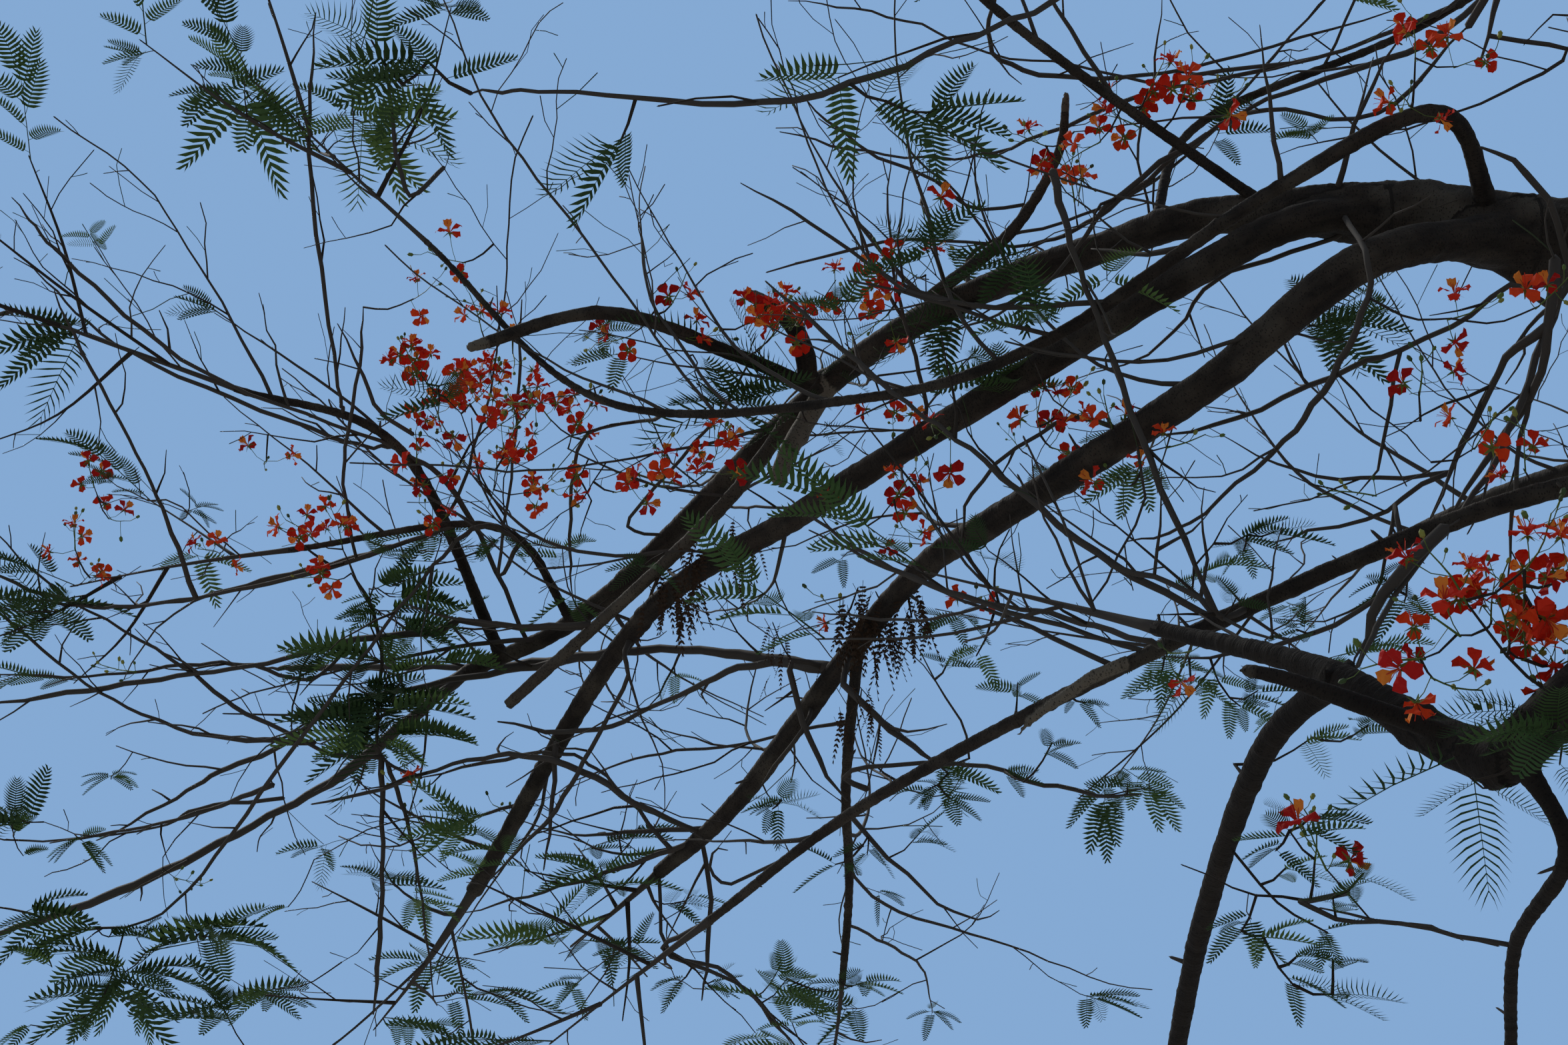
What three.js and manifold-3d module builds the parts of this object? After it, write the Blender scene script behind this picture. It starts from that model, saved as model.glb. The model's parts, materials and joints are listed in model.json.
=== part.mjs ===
// Flame tree, rooted in the ground: a flared trunk, five main limbs with their boughs, and a wide
// open crown of twigs, feathery leaf sprays and flower heads. Millimetres, +Z up, and the origin is
// the middle of the flat cut under the trunk.

import * as THREE from "three";
import * as BufferGeometryUtils from "three/addons/utils/BufferGeometryUtils.js";
import Module from "manifold-3d";

const wasm = await Module();
wasm.setup();

// Driving sizes.
const JOINT_GAP = 0.3; // clear width between two pieces of wood that meet
const TRUNK_HEIGHT = 2420; // ground to the top of the fork
const TRUNK_RADIUS = 330; // at breast height
const FORK_START = 2050; // where the trunk starts to draw in between its limbs
const TRUNK_LEAN = [70, -40]; // how far the fork stands off the middle of the foot
const FLARE_REACH = 300; // how far the root flare stands out of the trunk at the ground
const FLARE_HEIGHT = 330; // height in which the flare dies away
const FLARE_RIDGES = 5; // buttress ridges round the foot
const FLARE_EVEN = 0.35; // share of the flare that stands out all round, between its ridges too
const FLARE_TURN = 0.8; // radians the ridges are turned
const TRUNK_TAPER = 0.06; // share of its girth the trunk loses up to the fork
const TRUNK_CROWN = 30; // how far it swells again under the fork
const FORK_DRAW_IN = 0.3; // share of its girth it gives up between its limbs
const TRUNK_WAVE = 9; // depth of the soft hollows that wind up the trunk
const TRUNK_WAVE_RISE = 500; // height in which a hollow winds on by a radian
const LEAN_BEND = 1.3; // above 1 the lean comes late, near the fork
const TRUNK_SIDES = 20;
const TRUNK_STEPS = 9;
const TRUNK_RING_BUNCH = 1.35; // above 1 the rings stand closer together near the ground
const THICK_LIMB = 100; // radius from which a limb is drawn with ten sides
const MIDDLE_LIMB = 40; // radius from which it is drawn with seven, thinner ones with five
const TIP_OVERLAP = 20; // how far a bough that carries on a limb starts inside that limb's tip
const RING_SPACING = 540; // length of limb between two rings of its surface
const TWIG_RADIUS = 8; // thinnest twig
const TWIG_TAPER = 1.4; // root of a twig against its tip
const TWIG_STEPS = 2; // straight lengths in a twig
const STEM_TAPER = 0.8; // root of a stem against the tip of its bough
const LEAF_THICK = 16; // a leaf spray, through its middle
const LEAF_ARCH = 6; // how far the middle of a spray is lifted over its root
const LEAF_WIDEST = 0.42; // where along its length a spray is widest
const LEAF_DROOP = 0.12; // how far its tip hangs, against its length
const LEAF_LENGTH = [520, 160]; // least length of a spray and how much longer it can be
const LEAF_WIDTH = [220, 70]; // least width and how much wider it can be
const SPACE_MARGIN = 6; // kept clear inside the edge of each mass's own space
const LIMB_MARGIN = 12; // kept clear between foliage and any limb
const FLOWER_HEAD = 120; // radius of a head of flowers
const FLOWER_SHARE = 0.14; // share of the twigs that end in a head of flowers
const FLOWER_FLAT = 0.8; // height of a head against its width
const OUTWARD = 0.5; // how strongly a mass heads away from the trunk
const STEM_STEPS = 3; // straight lengths in the stem of a mass
const STEM_SHARE = 0.78; // length of the stem against the reach of its mass
const TWIG_ZONE = [0.2, 0.7]; // where on the stem the twigs start and over how much of it they stand
const TWIG_OPEN = [0.75, 0.5]; // least angle between twig and stem, radians, and its play
const TWIG_LENGTH = [0.5, 0.22]; // least length against the reach, and its play
const TWIG_STRAY = 0.7; // radians a twig may stray from its place round the stem
const TWIG_AHEAD = 0.5; // how strongly a twig bends towards the way of its mass
const TWIG_RISE = 0.35; // and how strongly upwards
const FIRST_SEED = 1000;
const SEED_STEP = 77;
// The sprays on a twig: where each sits on its last length, its turn round it and how far it
// points ahead rather than out.
const SPRAYS = [
  { at: 0.72, turn: 0.3, ahead: 0.3 },
  { at: 0.94, turn: 2.7, ahead: 0.6 },
];
const SPRAY_PLAY = 0.4; // how much further ahead a spray may point

const BARK = { color: 0x4a3f36, roughness: 0.92, metalness: 0 };
const LEAVES = { color: 0x4e7030, roughness: 0.7, metalness: 0 };

// One row for each limb: its parent, how far along the parent it starts (0 to 1), the bends it
// passes, its tip, and its radius at the start and at the tip. The swell makes it keep its girth
// for longer before it tapers.
const LIMBS = [
  { name: "west_limb", parent: "trunk", from: [-80, -10, 2080], radius: [185, 112], swell: 2.6,
    bends: [[-290, -40, 3500], [-430, 50, 4750], [-850, 280, 5530]], tip: [-1560, 500, 5900] },
  { name: "front_left_limb", parent: "trunk", from: [-20, -160, 2080], radius: [160, 48],
    bends: [[-350, -520, 3550], [-850, -1300, 4700], [-1600, -2500, 5700]],
    tip: [-2600, -3900, 6400] },
  { name: "front_right_limb", parent: "trunk", from: [140, -170, 2080], radius: [155, 46],
    bends: [[350, -480, 3500], [900, -1200, 4850], [1800, -2300, 5850]], tip: [2900, -3700, 6200] },
  { name: "right_limb", parent: "trunk", from: [215, -30, 2080], radius: [150, 44],
    bends: [[560, 60, 3500], [1350, 200, 4900], [2800, 300, 5900]], tip: [4400, 400, 6250] },
  { name: "back_limb", parent: "trunk", from: [95, 110, 2080], radius: [145, 42],
    bends: [[130, 480, 3550], [400, 1200, 4900], [900, 2600, 5900]], tip: [1300, 4200, 6250] },

  { name: "upper_bough", parent: "west_limb", at: 1, radius: [72, 30],
    bends: [[-2030, 610, 5980], [-2440, 810, 6010], [-3300, 1590, 6000], [-4340, 2890, 5580]],
    tip: [-4920, 3380, 5470] },
  { name: "middle_bough", parent: "upper_bough", at: 0.05, radius: [60, 34],
    bends: [[-2060, 530, 5850], [-2880, 1070, 5570], [-3540, 1740, 5430], [-4170, 2470, 5290]],
    tip: [-4900, 3860, 4680] },
  { name: "lower_bough", parent: "west_limb", at: 0.9, radius: [68, 29],
    bends: [[-1820, 240, 5580], [-2310, 540, 5290], [-2890, 1160, 5140], [-3200, 1630, 5080],
      [-3770, 2650, 4670]],
    tip: [-4090, 3150, 4540] },
  { name: "plumb_bough", parent: "lower_bough", at: 0.71, radius: [22, 14],
    bends: [[-3370, 2500, 4690], [-3350, 2980, 4430]], tip: [-3370, 3430, 4170] },
  { name: "long_low_bough", parent: "west_limb", at: 0.52, radius: [36, 16],
    bends: [[-950, -60, 4740], [-1620, -80, 4600], [-2460, 550, 4440], [-3320, 1650, 4320]],
    tip: [-3880, 2400, 4120] },
  { name: "crooked_limb", parent: "front_left_limb", at: 0.45, radius: [88, 58],
    bends: [[-1160, -1300, 4220], [-1480, -1350, 3880], [-1860, -1230, 3600]],
    tip: [-2000, -1010, 3500] },
  { name: "crooked_bough", parent: "crooked_limb", at: 1, radius: [50, 20],
    bends: [[-2110, -880, 3640], [-2300, -690, 3870]], tip: [-2620, -230, 4170] },
  { name: "falling_bough", parent: "crooked_bough", at: 0.62, radius: [36, 27],
    bends: [[-2390, -350, 3770], [-2430, 520, 3560]], tip: [-2420, 1450, 3250] },
  { name: "inner_bough", parent: "crooked_limb", at: 0.93, radius: [22, 15],
    bends: [[-1880, -1060, 3290], [-1890, -630, 3200]], tip: [-1780, -100, 3060] },
  { name: "arch_bough", parent: "west_limb", at: 0.93, radius: [30, 10],
    bends: [[-1600, 60, 5990], [-2130, 160, 5760], [-2770, 560, 5480], [-3330, 950, 5480],
      [-4240, 1440, 5730]],
    tip: [-4920, 1590, 6470] },
  { name: "top_bough", parent: "upper_bough", at: 0.38, radius: [18, 11],
    bends: [[-2150, 990, 6580], [-1420, 620, 6740]], tip: [-700, 420, 7180] },
  { name: "rising_bough", parent: "upper_bough", at: 0.19, radius: [19, 11],
    bends: [[-2800, 290, 6430], [-3500, -200, 6760]], tip: [-4250, -650, 6900] },
  { name: "far_left_bough", parent: "upper_bough", at: 0.94, radius: [25, 14],
    bends: [[-5140, 2630, 6140]], tip: [-5780, 2440, 6310] },
  { name: "level_bough", parent: "upper_bough", at: 0.83, radius: [18, 12],
    bends: [[-4750, 2670, 5810]], tip: [-5620, 2980, 5850] },
  { name: "broken_stub", parent: "upper_bough", at: 0.65, radius: [29, 22],
    bends: [[-3890, 2080, 5550]], tip: [-4670, 2780, 5100] },

  { name: "front_left_bough", parent: "front_left_limb", at: 0.72, radius: [60, 30],
    bends: [[-2600, -2100, 6250]], tip: [-4300, -2600, 6350] },
  { name: "front_bough", parent: "front_left_limb", at: 0.64, radius: [56, 30],
    bends: [[-700, -2900, 5950]], tip: [-550, -4300, 6200] },
  { name: "front_left_crown_bough", parent: "front_left_limb", at: 0.5, radius: [56, 28],
    bends: [[-1150, -1350, 6250]], tip: [-1700, -1850, 7350] },
  { name: "front_right_bough", parent: "front_right_limb", at: 0.68, radius: [58, 30],
    bends: [[2700, -1600, 6200]], tip: [4350, -2250, 6250] },
  { name: "front_middle_bough", parent: "front_right_limb", at: 0.62, radius: [54, 30],
    bends: [[1250, -3050, 6050]], tip: [1400, -4500, 6150] },
  { name: "front_right_crown_bough", parent: "front_right_limb", at: 0.5, radius: [54, 28],
    bends: [[900, -950, 6300]], tip: [1150, -1350, 7400] },
  { name: "back_right_bough", parent: "right_limb", at: 0.66, radius: [56, 30],
    bends: [[3100, 1500, 6250]], tip: [4150, 2700, 6250] },
  { name: "right_crown_bough", parent: "right_limb", at: 0.56, radius: [50, 28],
    bends: [[2050, 700, 6550]], tip: [2700, 700, 7400] },
  { name: "back_left_bough", parent: "back_limb", at: 0.58, radius: [50, 26],
    bends: [[-250, 2800, 6150]], tip: [-1150, 4300, 6300] },
  { name: "back_bough", parent: "back_limb", at: 0.7, radius: [50, 28],
    bends: [[2100, 3200, 6200]], tip: [3050, 4300, 6200] },
  { name: "back_crown_bough", parent: "back_limb", at: 0.5, radius: [52, 28],
    bends: [[350, 1350, 6500]], tip: [250, 1650, 7500] },
];

// One row for each mass of foliage: the bough that carries it, how far it reaches past that
// bough's tip, how it heads up (positive) or down, and its count of twigs.
const MASSES = [
  { bough: "upper_bough", reach: 1150, lift: 0, twigs: 5 },
  { bough: "middle_bough", reach: 1350, lift: -0.2, twigs: 5 },
  { bough: "lower_bough", reach: 850, lift: -0.15, twigs: 6 },
  { bough: "plumb_bough", reach: 1050, lift: -0.7, twigs: 5 },
  { bough: "long_low_bough", reach: 1250, lift: -0.3, twigs: 6 },
  { bough: "crooked_bough", reach: 1150, lift: 0.1, twigs: 4 },
  { bough: "falling_bough", reach: 1300, lift: -0.3, twigs: 4 },
  { bough: "inner_bough", reach: 1000, lift: -0.5, twigs: 4 },
  { bough: "arch_bough", reach: 1500, lift: 0.6, twigs: 5 },
  { bough: "top_bough", reach: 1500, lift: 0.9, twigs: 5 },
  { bough: "rising_bough", reach: 1900, lift: 0.15, twigs: 5 },
  { bough: "far_left_bough", reach: 1450, lift: 0.25, twigs: 5 },
  { bough: "level_bough", reach: 1350, lift: -0.1, twigs: 5 },
  { bough: "front_left_limb", reach: 2000, lift: 0.05, twigs: 6 },
  { bough: "front_left_bough", reach: 2000, lift: 0.05, twigs: 6 },
  { bough: "front_bough", reach: 2000, lift: 0.05, twigs: 6 },
  { bough: "front_left_crown_bough", reach: 1700, lift: 0.5, twigs: 6 },
  { bough: "front_right_limb", reach: 2000, lift: 0, twigs: 6 },
  { bough: "front_right_bough", reach: 2000, lift: 0.05, twigs: 6 },
  { bough: "front_middle_bough", reach: 1900, lift: 0.05, twigs: 6 },
  { bough: "front_right_crown_bough", reach: 1700, lift: 0.5, twigs: 6 },
  { bough: "right_limb", reach: 2100, lift: 0.05, twigs: 6 },
  { bough: "back_right_bough", reach: 2100, lift: 0.05, twigs: 6 },
  { bough: "right_crown_bough", reach: 1800, lift: 0.45, twigs: 6 },
  { bough: "back_limb", reach: 2100, lift: 0, twigs: 6 },
  { bough: "back_left_bough", reach: 1900, lift: 0, twigs: 6 },
  { bough: "back_bough", reach: 2000, lift: 0, twigs: 6 },
  { bough: "back_crown_bough", reach: 1700, lift: 0.45, twigs: 6 },
];

const UP = new THREE.Vector3(0, 0, 1);
const GOLDEN_TURN = 2.39996;
const place = (list) => new THREE.Vector3(...list);

// A repeatable run of numbers from 0 to 1.
function numbers(seed) {
  let state = seed;
  return () => {
    state = (state + 0x6d2b79f5) | 0;
    let mixed = Math.imul(state ^ (state >>> 15), state | 1);
    mixed ^= mixed + Math.imul(mixed ^ (mixed >>> 7), mixed | 61);
    return ((mixed ^ (mixed >>> 14)) >>> 0) / 4294967296;
  };
}

// The line of a limb as rings: the centre, direction and radius of each.
function limbRings(points, radius, swell) {
  const curve = new THREE.CatmullRomCurve3(points, false, "catmullrom", 0.5);
  let span = 0;
  for (let i = 1; i < points.length; i += 1) span += points[i].distanceTo(points[i - 1]);
  const steps = Math.max(3, Math.round(span / RING_SPACING));
  const rings = [];
  for (let i = 0; i <= steps; i += 1) {
    const t = i / steps;
    const slim = Math.pow(t, swell);
    rings.push({
      centre: curve.getPoint(t),
      along: curve.getTangent(t),
      radius: radius[0] + (radius[1] - radius[0]) * slim,
    });
  }
  return rings;
}

// A round bar bent along the rings, closed at both ends.
function barGeometry(rings, sides, grow = 0) {
  const steps = rings.length - 1;
  const geometry = new THREE.CylinderGeometry(1, 1, steps, sides, steps);
  const across = [];
  let side = new THREE.Vector3(0, 1, 0).cross(rings[0].along);
  if (side.length() < 0.3) side = new THREE.Vector3(1, 0, 0).cross(rings[0].along);
  for (const ring of rings) {
    side = side.clone().addScaledVector(ring.along, -side.dot(ring.along)).normalize();
    across.push({ side, other: side.clone().cross(ring.along) });
  }
  const at = geometry.attributes.position;
  for (let i = 0; i < at.count; i += 1) {
    const step = Math.round(at.getY(i) + steps / 2);
    const ring = rings[step];
    const radius = ring.radius + grow;
    const point = ring.centre.clone();
    point.addScaledVector(across[step].side, at.getX(i) * radius);
    point.addScaledVector(across[step].other, at.getZ(i) * radius);
    if (grow > 0 && step === 0) point.addScaledVector(ring.along, -grow);
    if (grow > 0 && step === steps) point.addScaledVector(ring.along, grow);
    at.setXYZ(i, point.x, point.y, point.z);
  }
  return geometry;
}

// A closed surface as a solid that can be joined and cut.
function solid(geometry) {
  const bare = geometry.clone();
  bare.deleteAttribute("normal");
  bare.deleteAttribute("uv");
  const merged = BufferGeometryUtils.mergeVertices(bare, 1e-3);
  return new wasm.Manifold(new wasm.Mesh({
    numProp: 3,
    vertProperties: merged.attributes.position.array,
    triVerts: merged.index.array,
  }));
}

// The largest piece of a solid, without loose scraps.
function largest(body) {
  let best = body;
  let most = -1;
  for (const piece of body.decompose()) {
    const size = piece.volume();
    if (size > most) {
      most = size;
      best = piece;
    }
  }
  return best;
}

const tree = new THREE.Group();
const NEAR = 300; // pieces further apart than this cannot touch

function addPiece(name, body, finish) {
  const mesh = body.getMesh();
  const geometry = new THREE.BufferGeometry();
  geometry.setAttribute("position", new THREE.Float32BufferAttribute(mesh.vertProperties, 3));
  geometry.setIndex(Array.from(mesh.triVerts));
  geometry.computeVertexNormals();
  const piece = new THREE.Mesh(geometry, new THREE.MeshStandardMaterial(finish));
  piece.name = name;
  tree.add(piece);
}

// The trunk: a column that leans a little, with ridges that run out into the root flare.
function trunkBody(grow = 0) {
  const geometry = new THREE.CylinderGeometry(1, 1, TRUNK_STEPS, TRUNK_SIDES, TRUNK_STEPS);
  const at = geometry.attributes.position;
  for (let i = 0; i < at.count; i += 1) {
    const step = at.getY(i) / TRUNK_STEPS + 0.5;
    const height = TRUNK_HEIGHT * Math.pow(step, TRUNK_RING_BUNCH);
    const turn = Math.atan2(at.getZ(i), at.getX(i));
    const ridge = 0.5 + 0.5 * Math.cos(FLARE_RIDGES * turn + FLARE_TURN);
    const foot = FLARE_REACH * Math.exp(-height / FLARE_HEIGHT);
    const flare = foot * (FLARE_EVEN + (1 - FLARE_EVEN) * ridge);
    const inFork = Math.max(0, (height - FORK_START) / (TRUNK_HEIGHT - FORK_START));
    const shaft = TRUNK_RADIUS * (1 - TRUNK_TAPER * step) + TRUNK_CROWN * step ** 4;
    const column = shaft * (1 - FORK_DRAW_IN * inFork ** 2);
    const hollows = TRUNK_WAVE * Math.cos(3 * turn + height / TRUNK_WAVE_RISE);
    const radius = column + flare + hollows + grow;
    const across = Math.hypot(at.getX(i), at.getZ(i));
    const lean = Math.pow(height / TRUNK_HEIGHT, LEAN_BEND);
    at.setXYZ(
      i,
      TRUNK_LEAN[0] * lean + Math.cos(turn) * radius * across,
      TRUNK_LEAN[1] * lean - Math.sin(turn) * radius * across,
      height + (grow > 0 && step === 1 ? grow : 0),
    );
  }
  return solid(geometry);
}

addPiece("trunk", trunkBody(), BARK);

// Every limb is cut back 0.3 mm clear of what it grows from and of the limbs beside it.
const limbs = new Map();
const grown = [{ name: "trunk", body: trunkBody(JOINT_GAP * 2) }];
for (const row of LIMBS) {
  const parent = limbs.get(row.parent);
  let start = row.from ? place(row.from) : null;
  if (parent) {
    start = parent.curve.getPoint(row.at);
    if (row.at === 1) start.addScaledVector(parent.curve.getTangent(1), -TIP_OVERLAP);
  }
  const points = [start, ...row.bends.map(place), place(row.tip)];
  const rings = limbRings(points, row.radius, row.swell ?? 1);
  let sides = 5;
  if (row.radius[0] > MIDDLE_LIMB) sides = 7;
  if (row.radius[0] > THICK_LIMB) sides = 10;
  let body = solid(barGeometry(rings, sides));
  const box = new THREE.Box3().setFromPoints(points).expandByScalar(row.radius[0] + NEAR);
  for (const other of grown) {
    const bounds = other.body.boundingBox();
    const near = new THREE.Box3(place(Array.from(bounds.min)), place(Array.from(bounds.max)));
    if (near.intersectsBox(box)) body = body.subtract(other.body);
  }
  body = largest(body);
  const curve = new THREE.CatmullRomCurve3(points, false, "catmullrom", 0.5);
  limbs.set(row.name, { curve, rings });
  grown.push({ name: row.name, body: solid(barGeometry(rings, sides, JOINT_GAP)) });
  addPiece(row.name, body, BARK);
}

// Shortest distance between the straight lines a-b and c-d.
function lineGap(a, b, c, d) {
  const ab = b.clone().sub(a);
  const cd = d.clone().sub(c);
  const ca = a.clone().sub(c);
  const abab = ab.dot(ab);
  const cdcd = cd.dot(cd);
  const abcd = ab.dot(cd);
  const abca = ab.dot(ca);
  const cdca = cd.dot(ca);
  const cross = abab * cdcd - abcd * abcd;
  let s = cross > 1e-9 ? (abcd * cdca - abca * cdcd) / cross : 0;
  s = Math.min(1, Math.max(0, s));
  let t = (abcd * s + cdca) / cdcd;
  if (t < 0 || t > 1) {
    t = Math.min(1, Math.max(0, t));
    s = Math.min(1, Math.max(0, (abcd * t - abca) / abab));
  }
  return a.clone().addScaledVector(ab, s).distanceTo(c.clone().addScaledVector(cd, t));
}

function clearOfLimbs(a, b, radius, own) {
  for (const [name, limb] of limbs) {
    if (name === own) continue;
    for (let i = 1; i < limb.rings.length; i += 1) {
      const [low, high] = [limb.rings[i - 1], limb.rings[i]];
      if (lineGap(a, b, low.centre, high.centre) < low.radius + radius + LIMB_MARGIN) return false;
    }
  }
  return true;
}

// Each mass starts at its bough's tip and heads out along it, bent outwards and up or down. Its
// middle owns the space that is nearer to it than to the middle of any other mass.
const spaces = MASSES.map((row) => {
  const last = limbs.get(row.bough).rings.at(-1);
  const outward = new THREE.Vector3(last.centre.x, last.centre.y, 0).normalize();
  const heading = last.along.clone().addScaledVector(outward, OUTWARD);
  heading.addScaledVector(UP, row.lift).normalize();
  const middle = last.centre.clone().addScaledVector(heading, row.reach * 0.5);
  return { ...row, start: last, heading, middle };
});

function inSpace(space, point) {
  for (const other of spaces) {
    if (other === space) continue;
    const toOther = other.middle.clone().sub(space.middle);
    const half = toOther.length() / 2;
    const past = point.clone().sub(space.middle).dot(toOther.normalize());
    if (past > half - SPACE_MARGIN) return false;
  }
  return true;
}

// A twig or stem of three sides along a run of points. A stem starts square to its bough's tip.
function twigBody(points, radius, square) {
  const rings = points.map((centre, i) => {
    const ahead = points[Math.min(i + 1, points.length - 1)];
    const behind = points[Math.max(i - 1, 0)];
    return {
      centre,
      along: i === 0 && square ? square : ahead.clone().sub(behind).normalize(),
      radius: radius[0] + (radius[1] - radius[0]) * (i / (points.length - 1)),
    };
  });
  return solid(barGeometry(rings, 3));
}

function twigFits(space, points, radius, own) {
  for (let i = 1; i < points.length; i += 1) {
    if (!inSpace(space, points[i]) || !inSpace(space, points[i - 1])) return false;
    if (!clearOfLimbs(points[i - 1], points[i], radius, own)) return false;
  }
  return true;
}

// A leaf spray: a flat blade of eight faces, widest nearer its root, sunk into the twig that
// bears it.
function leafCorners(root, direction, length, width) {
  const side = direction.clone().cross(UP).normalize();
  const top = side.clone().cross(direction).normalize();
  const broad = root.clone().addScaledVector(direction, length * LEAF_WIDEST);
  return {
    root,
    tip: root.clone().addScaledVector(direction, length).addScaledVector(UP, -length * LEAF_DROOP),
    left: broad.clone().addScaledVector(side, -width / 2),
    right: broad.clone().addScaledVector(side, width / 2),
    over: broad.clone().addScaledVector(top, LEAF_ARCH + LEAF_THICK / 2),
    under: broad.clone().addScaledVector(top, LEAF_ARCH - LEAF_THICK / 2),
  };
}

function leafBody(corners) {
  const geometry = new THREE.OctahedronGeometry(1, 0);
  const at = geometry.attributes.position;
  for (let i = 0; i < at.count; i += 1) {
    const [x, y, z] = [at.getX(i), at.getY(i), at.getZ(i)];
    let corner = corners.tip;
    if (x < -0.5) corner = corners.root;
    if (y < -0.5) corner = corners.right;
    if (y > 0.5) corner = corners.left;
    if (z > 0.5) corner = corners.over;
    if (z < -0.5) corner = corners.under;
    at.setXYZ(i, corner.x, corner.y, corner.z);
  }
  return solid(geometry);
}

// A bent run from a start: it sets off one way and turns towards another.
function bentRun(start, first, then, length, steps) {
  const points = [start.clone()];
  for (let i = 1; i <= steps; i += 1) {
    const mix = (i - 0.5) / steps;
    const way = first.clone().multiplyScalar(1 - mix).addScaledVector(then, mix).normalize();
    points.push(points.at(-1).clone().addScaledVector(way, length / steps));
  }
  return points;
}

// The leaf sprays at the end of a twig or stem, and now and then a head of flowers.
function addSprays(body, space, run, chances) {
  const end = run.at(-1);
  const way = end.clone().sub(run.at(-2)).normalize();
  const side = way.clone().cross(UP).normalize();
  const top = side.clone().cross(way).normalize();
  SPRAYS.forEach((spray, n) => {
    const chance = chances[n];
    const lean = side.clone().multiplyScalar(Math.cos(spray.turn));
    lean.addScaledVector(top, Math.sin(spray.turn));
    const direction = way.clone().multiplyScalar(spray.ahead + SPRAY_PLAY * chance);
    direction.add(lean).normalize();
    const root = run.at(-2).clone().lerp(end, spray.at).addScaledVector(direction, TWIG_RADIUS * 0.1);
    const length = LEAF_LENGTH[0] + LEAF_LENGTH[1] * chance;
    const width = LEAF_WIDTH[0] + LEAF_WIDTH[1] * chance;
    const corners = leafCorners(root, direction, length, width);
    const half = corners.left.distanceTo(corners.right) / 2;
    if (!Object.values(corners).every((corner) => inSpace(space, corner))) return;
    if (!clearOfLimbs(corners.root, corners.tip, half)) return;
    body = body.add(leafBody(corners));
  });
  return body;
}

function addFlowers(body, space, run) {
  const end = run.at(-1);
  const head = end.clone().sub(run.at(-2)).setLength(FLOWER_HEAD / 2).add(end);
  for (const axis of [[1, 0, 0], [0, 1, 0], [0, 0, 1]]) {
    const step = place(axis).multiplyScalar(FLOWER_HEAD * 1.1);
    if (!inSpace(space, head.clone().add(step))) return body;
    if (!inSpace(space, head.clone().sub(step))) return body;
  }
  if (!clearOfLimbs(head, head.clone().addScaledVector(UP, 1), FLOWER_HEAD)) return body;
  const ball = new THREE.IcosahedronGeometry(FLOWER_HEAD, 0);
  ball.scale(1, 1, FLOWER_FLAT);
  ball.translate(head.x, head.y, head.z);
  return body.add(solid(ball));
}

function massBody(space, seed) {
  const draw = numbers(seed);
  const { start, heading, reach, bough } = space;
  const foot = start.centre.clone().addScaledVector(start.along, JOINT_GAP);
  const stemRadius = Math.max(start.radius * STEM_TAPER, TWIG_RADIUS * 1.2);
  const stem = bentRun(foot, start.along, heading, reach * STEM_SHARE, STEM_STEPS);
  let body = twigBody(stem, [stemRadius, TWIG_RADIUS], start.along);
  const side = heading.clone().cross(UP).normalize();
  const other = side.clone().cross(heading).normalize();
  const first = draw() * Math.PI * 2;
  for (let k = 0; k < space.twigs; k += 1) {
    const share = TWIG_ZONE[0] + (TWIG_ZONE[1] * (k + draw() * 0.5)) / space.twigs;
    const turn = first + k * GOLDEN_TURN + (draw() - 0.5) * TWIG_STRAY;
    const open = TWIG_OPEN[0] + TWIG_OPEN[1] * draw();
    const length = reach * (TWIG_LENGTH[0] + TWIG_LENGTH[1] * draw());
    const chances = [draw(), draw(), draw()];
    const piece = Math.min(STEM_STEPS - 1, Math.floor(share * STEM_STEPS));
    const root = stem[piece].clone().lerp(stem[piece + 1], share * STEM_STEPS - piece);
    const away = side.clone().multiplyScalar(Math.cos(turn)).addScaledVector(other, Math.sin(turn));
    const firstWay = heading.clone().multiplyScalar(Math.cos(open));
    firstWay.addScaledVector(away, Math.sin(open));
    const thenWay = firstWay.clone().addScaledVector(heading, TWIG_AHEAD);
    thenWay.addScaledVector(UP, TWIG_RISE).normalize();
    const twig = bentRun(root, firstWay, thenWay, length, TWIG_STEPS);
    if (!twigFits(space, twig, TWIG_RADIUS * 1.5, bough)) continue;
    body = body.add(twigBody(twig, [TWIG_RADIUS * TWIG_TAPER, TWIG_RADIUS]));
    body = addSprays(body, space, twig, chances);
    if (chances[2] < FLOWER_SHARE) body = addFlowers(body, space, twig);
  }
  body = addSprays(body, space, stem, [draw(), draw(), draw()]);
  return largest(body);
}

spaces.forEach((space, index) => {
  const seed = FIRST_SEED + index * SEED_STEP;
  addPiece(`${space.bough}_foliage`, massBody(space, seed), LEAVES);
});

export default tree;
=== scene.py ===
# A flame tree rooted in the ground: a flared trunk, five main limbs with their boughs, and a wide
# open crown of arching twigs, feathery leaves and red flowers. Metres, +Z up, and the origin is
# the middle of the flat cut under the trunk.
import json
import math
import random

import bmesh
import bpy
import numpy as np
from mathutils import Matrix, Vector, kdtree, noise

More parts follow.
